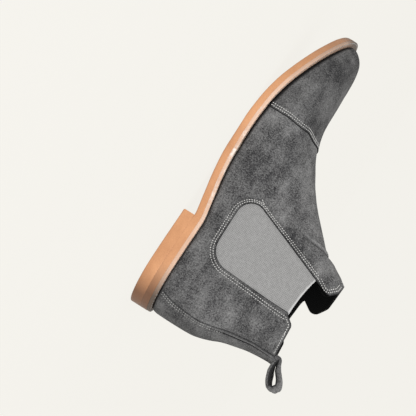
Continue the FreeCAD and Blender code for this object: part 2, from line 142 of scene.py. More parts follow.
def rounded(corners: Sequence[Corner], closed: bool = True, steps: int = 8) -> Array:
    """Outline through (y, z, radius) corners with tangent arcs.

    Args:
        corners: The corners and their radii.
        closed: Whether the last corner joins the first.
        steps: Pieces in each arc.

    Returns:
        The outline's points, one row each.
    """
    spots = np.array([c[:2] for c in corners], float)
    points: list[Array] = []
    for i, (_, _, radius) in enumerate(corners):
        spot = spots[i]
        if radius == 0 or (not closed and i in (0, len(corners) - 1)):
            points.append(spot)
            continue
        back = spots[i - 1] - spot
        ahead = spots[(i + 1) % len(spots)] - spot
        back /= np.linalg.norm(back)
        ahead /= np.linalg.norm(ahead)
        half = math.acos(float(np.clip(back @ ahead, -1, 1))) / 2
        middle = (back + ahead) / np.linalg.norm(back + ahead)
        centre = spot + middle * radius / math.sin(half)
        run = radius / math.tan(half)
        first = spot + back * run - centre
        last = spot + ahead * run - centre
        sweep = math.atan2(first[0] * last[1] - first[1] * last[0], float(first @ last))
        for k in range(steps + 1):
            turn = sweep * k / steps
            c, s = math.cos(turn), math.sin(turn)
            points.append(centre + np.array([c * first[0] - s * first[1], s * first[0] + c * first[1]]))
    return np.array(points)


def run_of(path: Array) -> Array:
    """Length along a polyline up to each of its points."""
    return np.concatenate([[0.0], np.cumsum(np.linalg.norm(np.diff(path, axis=0), axis=1))])


def read_along(path: Array, run: Array, at: Array | float) -> Array:
    """Rows of a path, read at places along its run."""
    return np.stack([np.interp(at, run, column) for column in path.T], axis=-1)


def resample(path: Array, pitch: float) -> Array:
    """Points spaced evenly along a polyline.

    Args:
        path: The polyline, one row per point.
        pitch: Wanted spacing.

    Returns:
        The new points, ends included.
    """
    run = run_of(path)
    count = max(int(round(run[-1] / pitch)), 1)
    return read_along(path, run, np.linspace(0.0, run[-1], count + 1))


def tube_faces(count: int, rings: int, capped: bool = True) -> list[list[int]]:
    """Faces that join each ring of vertices to the next.

    Args:
        count: Vertices in each ring.
        rings: Number of rings.
        capped: Whether one face closes each end.

    Returns:
        Vertex numbers of each face.
    """
    faces = [[k * count + j, k * count + (j + 1) % count, (k + 1) * count + (j + 1) % count, (k + 1) * count + j]
             for k in range(rings - 1) for j in range(count)]
    if capped:
        last = (rings - 1) * count
        faces += [list(range(count))[::-1], list(range(last, last + count))]
    return faces


class Region:
    """Closed area in side view, for measuring how far points lie inside it."""

    def __init__(self, corners: Sequence[Corner]) -> None:
        """Round the corners once."""
        self.outline = rounded(corners)

    def inside(self, points: Array) -> Array:
        """Signed distance to the outline in side view, positive inside."""
        spots = points[:, 1:3]
        a = self.outline
        b = np.roll(a, -1, axis=0)
        nearest = np.full(len(spots), FAR)
        within = np.zeros(len(spots), bool)
        for start, end in zip(a, b):
            edge = end - start
            length = float(edge @ edge)
            if length < TINY:
                continue
            t = np.clip(((spots - start) @ edge) / length, 0, 1)
            gap = np.linalg.norm(spots - start - t[:, None] * edge, axis=1)
            nearest = np.minimum(nearest, gap)
            spans = (start[1] > spots[:, 1]) != (end[1] > spots[:, 1])
            if abs(edge[1]) > TINY:
                cross = start[0] + (spots[:, 1] - start[1]) * edge[0] / edge[1]
                within ^= spans & (spots[:, 0] < cross)
        return np.where(within, nearest, -nearest)


# ---- the last ------------------------------------------------------------
@dataclass(frozen=True)
class Last:
    """Form that the boot is built on, in millimetres, toe to -Y."""

    half: float = 154.0
    top: float = 148.0
    toe_spring: float = 33.0
    heel_height: float = 10.2
    outsole: float = 5.4
    tread: float = 0.4
    welt: float = 3.0
    glue: float = 0.1
    ledge: float = 3.6
    toe_ledge: float = 6.0
    heel_ledge: float = 3.4
    breast: float = 77.0
    spring_curve: Curve = Curve([
        (-154, 1.0), (-135, 0.82), (-115, 0.65), (-95, 0.475), (-75, 0.302),
        (-55, 0.152), (-35, 0.055), (-15, 0.01), (0, 0.0)])
    arch_curve: Curve = Curve([(0, 0.0), (18, 0.07), (38, 0.3), (58, 0.66), (80, 1.0), (154, 1.0)])
    middle_curve: Curve = Curve([(-154, -8), (-125, -5.2), (-95, -2), (-55, 0), (154, 0)])
    sole_lateral: Curve = Curve([
        (0, 68), (0.07, 66.5), (0.155, 63.5), (0.25, 59.5), (0.335, 56), (0.43, 49.5),
        (0.53, 42), (0.65, 39), (0.78, 43), (0.88, 52), (0.945, 62), (1, 68)])
    sole_medial: Curve = Curve([
        (0, 64), (0.065, 63), (0.145, 61.5), (0.24, 59), (0.3, 56.5), (0.385, 47.5),
        (0.5, 35), (0.6, 31), (0.7, 34), (0.8, 43), (0.88, 52), (0.945, 62), (1, 68)])
    ridge: tuple[Pair, ...] = (
        (-144.8, 44.8), (-142.3, 47.3), (-138.4, 50.1), (-133.6, 52.4), (-125, 54.2), (-100, 55.6),
        (-72, 56.6), (-60, 57.6), (-51, 59.3), (-40, 62.8), (-31.5, 66.6), (-22.5, 71.4), (-9, 79.4),
        (4.6, 89.2), (23.6, 105.8), (36, 117.4), (40.5, 126), (45.5, 134), (51.5, 142), (55, 148))
    back_line: tuple[Pair, ...] = (
        (151.4, 35), (151.5, 45), (150.8, 56), (149.2, 63.5), (146.3, 72), (143, 80), (139.8, 92),
        (137, 104), (135.7, 116), (135.4, 123), (134, 148))
    section_v: tuple[float, ...] = (0.0, 0.12, 0.25, 0.35, 0.5, 0.7, 1.0)
    section_u: tuple[float, ...] = (0, 0.08, 0.2, 0.35, 0.5, 0.65, 0.8, 0.9, 1.0)
    lateral: tuple[tuple[float, ...], ...] = (
        (66, 65, 59, 51, 42, 37.5, 41.5, 51, 66),
        (48, 51, 48, 40.7, 37.2, 35.6, 41.2, 48.3, 62),
        (31, 32.5, 37, 35.6, 33.3, 34, 39.4, 43.3, 54),
        (31, 32, 33.5, 33, 31.5, 32.5, 36.6, 39, 45),
        (30, 32, 32.5, 31.8, 31.2, 31.2, 32.3, 34, 37),
        (29, 30.5, 31, 31.5, 31.5, 31.5, 31, 31, 31))
    medial: tuple[tuple[float, ...], ...] = (
        (63, 62, 58.5, 49, 36.5, 32.5, 39.5, 51, 66),
        (47, 50, 48, 41, 36.5, 34.5, 40.5, 48, 62),
        (31, 32.5, 37, 36, 34, 34, 39, 43, 54),
        (31, 32, 33.5, 33, 31.5, 32.5, 36.6, 39, 45),
        (30, 32, 32.5, 31.8, 31.2, 31.2, 32.3, 34, 37),
        (29, 30.5, 31, 31.5, 31.5, 31.5, 31, 31, 31))

    @property
    def stack(self) -> float:
        """Thickness of the outsole, glue line and welt together."""
        return self.outsole + self.welt + self.glue

    def underside(self, y: Array) -> Array:
        """Height of the outsole's underside along y."""
        y = np.asarray(y, float)
        return np.where(y < 0, self.toe_spring * self.spring_curve(y), self.heel_height * self.arch_curve(y))

    def tread_line(self, y: Array) -> Array:
        """Height of the worn tread, flat where the ball stands."""
        return np.maximum(self.underside(y) - self.tread, 0.0)

    def feather(self, y: Array) -> Array:
        """Height of the welt's top along y."""
        return self.underside(y) + self.stack

    def share(self, y: Array, z: Array) -> Array:
        """Height between the welt and the last's top, as a share."""
        base = self.feather(y)
        return (z - base) / (self.top - base)

    def ends(self) -> tuple[Curve, Curve]:
        """Front and back ends of the sections as curves of the height share."""
        front = [(0.0, -self.half + self.toe_ledge)]
        front += [(float(self.share(y, z)), y) for y, z in self.ridge]
        back = [(0.0, self.half - self.heel_ledge)]
        back += [(float(self.share(y, z)), y) for y, z in self.back_line]
        return Curve(front), Curve(back)

    def half_width(self, v: Array, u: Array, outer: bool) -> Array:
        """Half width of a section.

        Args:
            v: Height shares.
            u: Length shares, 0 at the front end.
            outer: True for the outer flank.

        Returns:
            The half widths in millimetres.
        """
        rows = self.lateral if outer else self.medial
        foot = self.sole_lateral if outer else self.sole_medial
        values = [foot(u) - self.ledge]
        values += [Curve(list(zip(self.section_u, row)))(u) for row in rows]
        table = np.stack(values)
        x = np.array(self.section_v)
        slopes = monotone_slopes(x, table)
        v = np.clip(v, 0.0, 1.0)
        i = station_under(x, v)
        k = np.arange(len(v))
        return hermite(x, i, v, (table[i, k], table[i + 1, k]), (slopes[i, k], slopes[i + 1, k]))

    def skin(self, angle: Array, v: Array) -> Array:
        """Points of the upper's outside.

        Args:
            angle: Section angles, 0 at the toe and pi at the heel, on the
                outer flank between them.
            v: Height shares, 0 at the welt.

        Returns:
            One row of x, y, z for each.
        """
        angle, v = np.broadcast_arrays(np.asarray(angle, float), np.asarray(v, float))
        front_end, back_end = self.ends()
        front = front_end(v)
        u = (1 - np.cos(angle)) / 2
        y = front + (back_end(v) - front) * u
        outer = np.sin(angle) >= 0
        width = np.where(outer, self.half_width(v, u, True), self.half_width(v, u, False))
        x = self.middle_curve(y) * (1 - v) + width * np.sin(angle)
        base = self.feather(y)
        return np.stack([x, y, base + v * (self.top - base)], axis=1)

    def normals(self, angle: Array, v: Array) -> Array:
        """Outward unit normals of the skin."""
        turn, rise = 0.01, 0.004
        along = self.skin(angle + turn, v) - self.skin(angle - turn, v)
        up = self.skin(angle, np.minimum(v + rise, 1.0)) - self.skin(angle, np.maximum(v - rise, 0.0))
        normal = np.cross(along, up)
        return normal / np.linalg.norm(normal, axis=1, keepdims=True)

    def locate(self, y: Array, z: Array, outer: bool) -> tuple[Array, Array, Array]:
        """Skin coordinates of points given in side view.

        Args:
            y: Places along the boot.
            z: Heights.
            outer: True for the outer flank.

        Returns:
            Angles, height shares, and whether each point is on the flank.
        """
        front_end, back_end = self.ends()
        v = self.share(y, z)
        front = front_end(v)
        u = (y - front) / (back_end(v) - front)
        found = (u >= 0) & (u <= 1) & (v >= 0) & (v <= 1)
        angle = np.arccos(np.clip(1 - 2 * u, -1, 1))
        return (angle if outer else 2 * math.pi - angle), v, found


LAST = Last()


# ---- pattern of the upper ------------------------------------------------
@dataclass(frozen=True)
class Pattern:
    """Seam lines of the upper in side view, as (y, z, corner radius)."""

    gore_front_top: Pair = (68.0, 120.0)
    gore_front_foot: Corner = (35.0, 36.5, 13.0)
    gore_back_foot: Corner = (100.5, 37.5, 18.0)
    gore_back_top: Pair = (104.7, 115.5)
    gore_reach: Pair = (60.0, 108.0)
    gore_lap: float = 3.0
    gore_drop: float = 0.8
    gore_dip: float = 1.2
    gore_middle: float = 86.0
    seam_y: float = 66.0
    seam_top: float = 60.0
    inner_rise: float = 1.7
    inner_from: float = 6.0
    inner_run: float = 8.0
    cap_curve: Curve = Curve([(4, -33.6), (26, -32.8), (44, -34.2), (52, -37), (64, -43), (80, -52)])
    strip_curve: Curve = Curve([(16, 24), (33, 21), (51, 19.5), (70, 17), (100, 13), (123, 10), (148, 9)])
    back_radius: float = 32.0
    back_limit: float = 0.98

    def opening_corners(self, grow: float = 0.0, reach: float = 60.0) -> list[Corner]:
        """Gore opening as an outline, run on upwards past the topline.

        Args:
            grow: How far all edges move outwards.
            reach: How far the opening runs on above its top corners.

        Returns:
            The outline's corners.
        """
        (fy, fz), (ay, az, ar) = self.gore_front_top, self.gore_front_foot
        (by, bz, br), (cy, cz) = self.gore_back_foot, self.gore_back_top
        lean = (fy - ay) / (fz - az)
        return [(fy + lean * reach - grow, fz + reach, 0.0), (ay - grow, az - grow, ar + grow),
                (by + grow, bz - grow, br + grow), (cy + grow, cz + reach, 0.0)]

    def tab_edge(self) -> list[Corner]:
        """Top edge of the front tab, from the ridge back to the gore."""
        return [(30, 143.8, 0), (65, 140.3, 5), (76.5, 131.5, 6.5), (67.4, 118.5, 0)]

    def quarter_edge(self) -> list[Corner]:
        """Top edge of the quarters, from the gore to the back."""
        return [(104.7, 114.5, 0), (110, 121.5, 5), (145, 123.6, 0)]

    def over_tab(self) -> Region:
        """Everything above the front tab."""
        return Region(self.tab_edge() + [(95, 116, 0), (95, 190, 0), (0, 190, 0), (0, 146, 0)])

    def over_quarter(self) -> Region:
        """Everything above the quarters."""
        return Region(self.quarter_edge() + [(190, 126, 0), (190, 190, 0), (90, 190, 0), (90, 114.5, 0)])

    def under_gore_top(self, points: Array) -> Array:
        """Distance below the gore's top edge, which dips a little."""
        (fy, fz), (cy, cz) = self.gore_front_top, self.gore_back_top
        t = (points[:, 1] - fy) / (cy - fy)
        line = fz - self.gore_drop + (cz - fz) * t - self.gore_dip * np.clip(4 * t * (1 - t), 0, 1)
        return line - points[:, 2]

    def cap_distance(self, points: Array) -> Array:
        """Distance ahead of the toe cap's edge, positive on the cap."""
        return self.cap_curve(points[:, 2]) - points[:, 1]

    def strip_distance(self, points: Array) -> Array:
        """Distance inside the back strip's long edges."""
        reach = self.back_radius * self.back_limit
        wide = np.minimum(self.strip_curve(points[:, 2]), reach) / self.back_radius
        here = np.minimum(np.abs(points[:, 0]), reach) / self.back_radius
        return self.back_radius * (np.arcsin(wide) - np.arcsin(here))


PATTERN = Pattern()
OPENING = Region(PATTERN.opening_corners())
OVER_TAB = PATTERN.over_tab()
OVER_QUARTER = PATTERN.over_quarter()


def over_quarter(points: Array) -> Array:
    """Distance below the top edge of the quarters, the inner one cut a little higher."""
    inner = np.clip((-points[:, 0] - PATTERN.inner_from) / PATTERN.inner_run, 0, 1)
    return -OVER_QUARTER.inside(points - inner[:, None] * np.array([0.0, 0.0, PATTERN.inner_rise]))


def topline_distance(points: Array) -> Array:
    """Distance below the whole top edge, over the gores too."""
    over = np.minimum(-OVER_TAB.inside(points), over_quarter(points))
    y, (first, last) = points[:, 1], PATTERN.gore_reach
    between = (y > first) & (y < last) & (OPENING.inside(points) > -PATTERN.gore_lap)
    gore = PATTERN.under_gore_top(points)
    return np.where(between, np.maximum(over, np.minimum(over + PATTERN.gore_lap, gore)), over)


# ---- sheets over the skin ------------------------------------------------
class Sheet:
    """Faces over the skin's own coordinates, cut along seam lines."""

    snap: float = 0.02

    def __init__(self, angles: Array, heights: Array) -> None:
        """Lay out a grid of quads.

        Args:
            angles: Section angles of the columns.
            heights: Height shares of the rows.
        """
        columns = len(angles)
        self.at = np.stack([np.tile(angles, len(heights)), np.repeat(heights, columns)], axis=1)
        rows, cols = np.meshgrid(np.arange(len(heights) - 1), np.arange(columns - 1), indexing="ij")
        low = (rows * columns + cols).ravel()
        quads = np.stack([low, low + 1, low + columns + 1, low + columns], axis=1)
        self.faces: list[list[int]] = quads.tolist()

    def ground(self) -> Array:
        """Points of the bare skin under every vertex."""
        return LAST.skin(self.at[:, 0], self.at[:, 1])

    def _spans(self, values: Array) -> tuple[Array, Array, Array]:
        """Lowest, highest and mean value over each face."""
        sizes = np.fromiter(map(len, self.faces), int, len(self.faces))
        flat = np.fromiter(chain.from_iterable(self.faces), int, int(sizes.sum()))
        starts = np.concatenate([[0], np.cumsum(sizes)[:-1]])
        picked = values[flat]
        mean = np.add.reduceat(picked, starts) / sizes
        return np.minimum.reduceat(picked, starts), np.maximum.reduceat(picked, starts), mean

    def split(self, distance: Field, level: float = 0.0) -> None:
        """Put an edge loop along the line where a distance has a level.

        Args:
            distance: Gives a distance for rows of points.
            level: The distance that the loop follows.
        """
        values = distance(self.ground()) - level
        values[np.abs(values) < self.snap] = 0.0
        low, high, _ = self._spans(values)
        crossed = np.nonzero((low < 0) & (high > 0))[0]
        made: dict[Pair, int] = {}
        added: list[Array] = []
        for index in crossed:
            ring = self._with_crossings(self.faces[index], values, made, added)
            cuts = [k for k, (_, sign) in enumerate(ring) if sign == 0]
            if len(cuts) != 2:
                continue
            a, b = cuts
            first = [vertex for vertex, _ in ring[a:b + 1]]
            second = [vertex for vertex, _ in ring[b:] + ring[:a + 1]]
            if len(first) < 3 or len(second) < 3:
                continue
            self.faces[index] = first
            self.faces.append(second)
        if added:
            self.at = np.vstack([self.at, np.array(added)])

    def _with_crossings(self, face: list[int], values: Array, made: dict, added: list) -> list[tuple[int, int]]:
        """Ring of a face with new vertices where its edges cross the level.

        Args:
            face: The face's vertices.
            values: Distance less level at the old vertices.
            made: New vertices by old pair, shared by neighbouring faces.
            added: Coordinates of the new vertices.

        Returns:
            Pairs of vertex and sign, the sign 0 on the level.
        """
        ring: list[tuple[int, int]] = []
        for a, b in zip(face, face[1:] + face[:1]):
            ring.append((a, int(np.sign(values[a]))))
            if values[a] * values[b] >= 0:
                continue
            key = (min(a, b), max(a, b))
            if key not in made:
                t = values[a] / (values[a] - values[b])
                made[key] = len(self.at) + len(added)
                added.append(self.at[a] + t * (self.at[b] - self.at[a]))
            ring.append((made[key], 0))
        return ring

    def keep(self, distance: Field, level: float = 0.0) -> None:
        """Drop the faces whose mean distance is under a level."""
        _, _, mean = self._spans(distance(self.ground()))
        self.faces = [face for face, value in zip(self.faces, mean) if value >= level]
        self._compact()

    def trim(self, distance: Field, level: float = 0.0) -> None:
        """Cut along a level and keep the side above it."""
        self.split(distance, level)
        self.keep(distance, level)

    def _compact(self) -> None:
        """Forget vertices that no face uses."""
        used = np.unique(np.fromiter(chain.from_iterable(self.faces), int))
        place = np.full(len(self.at), -1)
        place[used] = np.arange(len(used))
        self.at = self.at[used]
        self.faces = [place[face].tolist() for face in self.faces]


def hand_over(name: str, points: Array, faces: Sequence[Sequence[int]], smooth: bool = True) -> bpy.types.Object:
    """Make a Blender object from points in millimetres.

    Args:
        name: Name of the piece.
        points: One row per vertex.
        faces: Vertex numbers of each face.
        smooth: Whether faces are shaded smooth.

    Returns:
        The new object, linked to the scene.
    """
    mesh = bpy.data.meshes.new(name)
    mesh.from_pydata((np.asarray(points) * MM).tolist(), [], [list(f) for f in faces])
    mesh.update()
    mesh.polygons.foreach_set("use_smooth", [smooth] * len(mesh.polygons))
    piece = bpy.data.objects.new(name, mesh)
    bpy.context.scene.collection.objects.link(piece)
    return piece


def mark(piece: bpy.types.Object, name: str, values: Array) -> None:
    """Store one number per vertex for the material to read."""
    attribute = piece.data.attributes.new(name, "FLOAT", "POINT")
    attribute.data.foreach_set("value", np.asarray(values, np.float32))


# ---- finishes ------------------------------------------------------------
Socket = bpy.types.NodeSocket
Colour = tuple[float, float, float]


class NodeBench:
    """Short calls for building one node tree."""

    def __init__(self, tree: bpy.types.NodeTree) -> None:
        """Work on a tree."""
        self.tree = tree

    def add(self, kind: str, **settings: object) -> bpy.types.Node:
        """Add a node and set its properties."""
        node = self.tree.nodes.new(kind)
        for name, value in settings.items():
            setattr(node, name, value)
        return node

    def join(self, source: Socket, target: Socket) -> None:
        """Link two sockets."""
        self.tree.links.new(source, target)

    def feed(self, target: Socket, value: Socket | float | Sequence[float]) -> None:
        """Link a socket or set a plain value."""
        if isinstance(value, bpy.types.NodeSocket):
            self.join(value, target)
        else:
            target.default_value = value

    def maths(self, operation: str, a: Socket | float, b: Socket | float = 0.0, clamp: bool = False) -> Socket:
        """Result of one arithmetic node."""
        node = self.add("ShaderNodeMath", operation=operation, use_clamp=clamp)
        self.feed(node.inputs[0], a)
        self.feed(node.inputs[1], b)
        return node.outputs[0]

    def spread(self, value: Socket, low: float, high: float, to_low: float = 0.0, to_high: float = 1.0) -> Socket:
        """Map a value from one range to another, clamped."""
        node = self.add("ShaderNodeMapRange")
        self.feed(node.inputs["Value"], value)
        node.inputs["From Min"].default_value = low
        node.inputs["From Max"].default_value = high
        node.inputs["To Min"].default_value = to_low
        node.inputs["To Max"].default_value = to_high
        return node.outputs["Result"]

    def noise(self, place: Socket, scale: Socket | float, detail: float = 2.0, rough: float = 0.5) -> Socket:
        """Value of a noise texture."""
        node = self.add("ShaderNodeTexNoise")
        self.join(place, node.inputs["Vector"])
        self.feed(node.inputs["Scale"], scale)
        node.inputs["Detail"].default_value = detail
        node.inputs["Roughness"].default_value = rough
        return node.outputs["Fac"]

    def stretch(self, place: Socket, scale: Sequence[float]) -> Socket:
        """Coordinates scaled along each axis."""
        node = self.add("ShaderNodeMapping")
        self.join(place, node.inputs["Vector"])
        node.inputs["Scale"].default_value = scale
        return node.outputs["Vector"]

    def blend(self, share: Socket | float, a: Socket | Colour, b: Socket | Colour) -> Socket:
        """Mix of two colours."""
        node = self.add("ShaderNodeMix", data_type="RGBA")
        self.feed(node.inputs["Factor"], share)
        self.feed(node.inputs[6], a if isinstance(a, bpy.types.NodeSocket) else (*a, 1.0))
        self.feed(node.inputs[7], b if isinstance(b, bpy.types.NodeSocket) else (*b, 1.0))
        return node.outputs[2]

    def place(self) -> Socket:
        """Object coordinates in metres."""
        return self.add("ShaderNodeTexCoord").outputs["Object"]


def make_group(name: str, inputs: dict[str, float],
               outputs: Sequence[str]) -> tuple[NodeBench, bpy.types.Node, bpy.types.Node]:
    """Start a shader node group with named float sockets.

    Args:
        name: Name of the group.
        inputs: Input names and their usual values.
        outputs: Output names.

    Returns:
        A bench on the group, and its input and output nodes.
    """
    tree = bpy.data.node_groups.new(name, "ShaderNodeTree")
    for label, value in inputs.items():
        socket = tree.interface.new_socket(name=label, in_out="INPUT", socket_type="NodeSocketFloat")
        socket.default_value = value
    for label in outputs:
        tree.interface.new_socket(name=label, in_out="OUTPUT", socket_type="NodeSocketFloat")
    bench = NodeBench(tree)
    return bench, bench.add("NodeGroupInput"), bench.add("NodeGroupOutput")


def nap_group() -> bpy.types.NodeTree:
    """Brushed suede: cloudy mottling, stroked patches and a short nap."""
    bench, given, result = make_group("suede_nap", {"Cloud": 32.0, "Contrast": 1.0}, ("Tone", "Height"))
    place = bench.place()
    cloud = bench.noise(place, given.outputs["Cloud"], 4.0, 0.62)
    stroked = bench.noise(bench.stretch(place, (1.0, 0.6, 1.3)), 70.0, 5.0, 0.6)
    fleck = bench.noise(place, 880.0, 3.0, 0.75)
    nap = bench.noise(place, 1900.0, 2.0, 0.7)
    broad = bench.maths("ADD", bench.maths("MULTIPLY", cloud, 0.55), bench.maths("MULTIPLY", stroked, 0.45))
    patches = bench.spread(broad, 0.36, 0.65, 0.05, 0.74)
    fine = bench.maths("ADD", bench.spread(fleck, 0.3, 0.7, -0.44, 0.44), bench.spread(nap, 0.3, 0.7, -0.3, 0.3))
    centred = bench.maths("SUBTRACT", bench.maths("ADD", patches, fine), 0.4)
    scaled = bench.maths("MULTIPLY", centred, given.outputs["Contrast"])
    bench.join(bench.maths("ADD", scaled, 0.4, clamp=True), result.inputs["Tone"])
    height = bench.maths("ADD", bench.maths("MULTIPLY", fleck, 0.6), bench.maths("MULTIPLY", nap, 0.8))
    bench.join(height, result.inputs["Height"])
    return bench.tree


def weave_group() -> bpy.types.NodeTree:
    """Ribbed weave: round ribs running up, crossed by fine picks."""
    bench, given, result = make_group("rib_weave", {"Ribs": 560.0, "Picks": 600.0}, ("Tone", "Height"))
    parts = bench.add("ShaderNodeSeparateXYZ")
    bench.join(bench.place(), parts.inputs[0])
    across = bench.maths("MULTIPLY", parts.outputs["Y"], given.outputs["Ribs"])
    along = bench.maths("MULTIPLY", parts.outputs["Z"], given.outputs["Picks"])
    rib = bench.maths("SINE", bench.maths("MULTIPLY", across, math.tau))
    pick = bench.maths("SINE", bench.maths("MULTIPLY", along, math.tau))
    height = bench.maths("ADD", bench.maths("MULTIPLY", rib, 0.55), bench.maths("MULTIPLY", pick, 0.45))
    fuzz = bench.noise(bench.place(), 520.0, 3.0, 0.75)
    mixed = bench.maths("ADD", bench.spread(height, -1.0, 1.0, 0.1, 0.9), bench.spread(fuzz, 0.3, 0.7, -0.25, 0.25))
    bench.join(bench.maths("ADD", mixed, 0.0, clamp=True), result.inputs["Tone"])
    bench.join(height, result.inputs["Height"])
    return bench.tree


def grain_group() -> bpy.types.NodeTree:
    """Cut and burnished sole leather: long streaks and fine pores."""
    bench, given, result = make_group("sole_grain", {"Streak": 60.0}, ("Tone", "Height"))
    place = bench.place()
    streak = bench.noise(bench.stretch(place, (1.0, 1.0, 2.5)), given.outputs["Streak"], 4.0, 0.6)
    pores = bench.noise(place, 900.0, 3.0, 0.75)
    stain = bench.noise(place, 26.0, 3.0, 0.55)
    clouds = bench.maths("ADD", bench.spread(streak, 0.3, 0.7, 0.0, 0.3), bench.spread(stain, 0.3, 0.7, 0.0, 0.5))
    tone = bench.maths("ADD", clouds, bench.spread(pores, 0.3, 0.7, -0.05, 0.25), clamp=True)
    bench.join(tone, result.inputs["Tone"])
    height = bench.maths("ADD", bench.maths("MULTIPLY", streak, 0.5), bench.maths("MULTIPLY", pores, 0.3))
    bench.join(height, result.inputs["Height"])
    return bench.tree


class Effect(Enum):
    """Shared surface effects."""

    NAP = "suede_nap"
    WEAVE = "rib_weave"
    GRAIN = "sole_grain"


MAKERS: dict[Effect, Callable[[], bpy.types.NodeTree]] = {
    Effect.NAP: nap_group,
    Effect.WEAVE: weave_group,
    Effect.GRAIN: grain_group,
}


def effect(bench: NodeBench, which: Effect, **values: float) -> bpy.types.Node:
    """Place a shared effect in a material, building it once.

    Args:
        bench: The material's bench.
        which: The effect.
        values: Numbers for its named inputs.

    Returns:
        The group node.
    """
    tree = bpy.data.node_groups.get(which.value) or MAKERS[which]()
    node = bench.add("ShaderNodeGroup")
    node.node_tree = tree
    for name, value in values.items():
        node.inputs[name].default_value = value
    return node


@dataclass(frozen=True)
class Finish:
    """A material with its two tones and the effect that mixes them."""

    name: str
    dark: Colour
    light: Colour
    which: Effect
    rough: float = 0.9
    depth_mm: float = 0.12
    sheen: float = 0.0
    specular: float = 0.3
    metal: float = 0.0
    values: dict[str, float] = field(default_factory=dict)

    def build(self) -> bpy.types.Material:
        """Make the material."""
        material = bpy.data.materials.new(self.name)
        material.use_nodes = True
        bench = NodeBench(material.node_tree)
        shader = material.node_tree.nodes["Principled BSDF"]
        group = effect(bench, self.which, **self.values)
        colour = bench.blend(group.outputs["Tone"], self.dark, self.light)
        bench.join(self.tint(bench, colour), shader.inputs["Base Color"])
        rough = bench.spread(group.outputs["Tone"], 0.0, 1.0, min(self.rough + 0.04, 1.0), self.rough - 0.06)
        bench.join(rough, shader.inputs["Roughness"])
        bump = bench.add("ShaderNodeBump")
        bump.inputs["Distance"].default_value = self.depth_mm * MM
        bench.join(group.outputs["Height"], bump.inputs["Height"])
        bench.join(bump.outputs["Normal"], shader.inputs["Normal"])
        shader.inputs["Specular IOR Level"].default_value = self.specular
        shader.inputs["Metallic"].default_value = self.metal
        shader.inputs["Sheen Weight"].default_value = self.sheen
        shader.inputs["Sheen Roughness"].default_value = 0.45
        shader.inputs["Sheen Tint"].default_value = (*self.light, 1.0)
        return material

    def tint(self, bench: NodeBench, colour: Socket) -> Socket:
        """Colour after marks of making; plain here."""
        return colour


@dataclass(frozen=True)
class SuedeFinish(Finish):
    """Suede darkened by painted shade in folds, crevices, grooves and seams and by its dark cut edges, and lightened
    by painted highlights on crests.
    """

    # Colour of the shade mark: painted shade in folds, the crevice over the welt, stitch grooves and beside the
    # bead, and the dark cut edges.
    edge: Colour = (0.007, 0.007, 0.008)
    # Colour of painted highlights on the crests of the ankle fold and the folded bead.
    rubbed: Colour = (0.30, 0.30, 0.305)

    def tint(self, bench: NodeBench, colour: Socket) -> Socket:
        """Lighten with painted highlights on crests, darken with painted shade and towards the dark cut edges."""
        shade = bench.add("ShaderNodeAttribute", attribute_name="shade")
        painted_highlight = bench.add("ShaderNodeAttribute", attribute_name="painted_highlight")
        highlighted = bench.blend(painted_highlight.outputs["Fac"], colour, self.rubbed)
        return bench.blend(shade.outputs["Fac"], highlighted, self.edge)


@dataclass(frozen=True)
class ElasticFinish(Finish):
    """Elastic with a paler woven selvedge along its top."""

    selvedge: Colour = (0.50, 0.50, 0.51)

    def tint(self, bench: NodeBench, colour: Socket) -> Socket:
        """Pale selvedge from the mark stored on the gore."""
        share = bench.add("ShaderNodeAttribute", attribute_name="selvedge")
        return bench.blend(share.outputs["Fac"], colour, self.selvedge)


@dataclass(frozen=True)
class SoleFinish(Finish):
    """Sole leather, darker where the shade mark says: painted shade on the heel's back and breast, and darker
    towards the toe tip.
    """

    # Colour of painted shade on the heel's back and breast, and of the darker toe tip.
    darkening: Colour = (0.105, 0.048, 0.026)

    def tint(self, bench: NodeBench, colour: Socket) -> Socket:
        """Darken towards the dark colour where the shade mark says."""
        shade = bench.add("ShaderNodeAttribute", attribute_name="shade")
        return bench.blend(shade.outputs["Fac"], colour, self.darkening)


@dataclass(frozen=True)
class WeltFinish(SoleFinish):
    """Welt leather with dry whitish scuffs along its edge."""

    # Colour of painted shade at the welt's back, and of its darker toe tip.
    darkening: Colour = (0.05, 0.04, 0.033)
    scuff: Colour = (0.80, 0.75, 0.71)

    def tint(self, bench: NodeBench, colour: Socket) -> Socket:
        """Darken where the shade mark says, and pale scuffs in short runs."""
        runs = bench.noise(bench.stretch(bench.place(), (1.0, 0.35, 1.0)), 95.0, 4.0, 0.7)
        chips = bench.noise(bench.place(), 420.0, 2.0, 0.6)
        dry = bench.add("ShaderNodeAttribute", attribute_name="dry")
        share = bench.maths("MULTIPLY", bench.spread(runs, 0.46, 0.6), bench.spread(chips, 0.35, 0.6))
        share = bench.maths("MULTIPLY", share, dry.outputs["Fac"])
        return super().tint(bench, bench.blend(share, colour, self.scuff))


@dataclass(frozen=True)
class ThreadFinish(Finish):
    """Sewing thread, darkened by an amount given for each stitch."""

    dimmed: Colour = (0.05, 0.05, 0.052)

    def tint(self, bench: NodeBench, colour: Socket) -> Socket:
        """Dull each stitch by its own amount."""
        dull = bench.add("ShaderNodeAttribute", attribute_name="dull")
        return bench.blend(dull.outputs["Fac"], colour, self.dimmed)


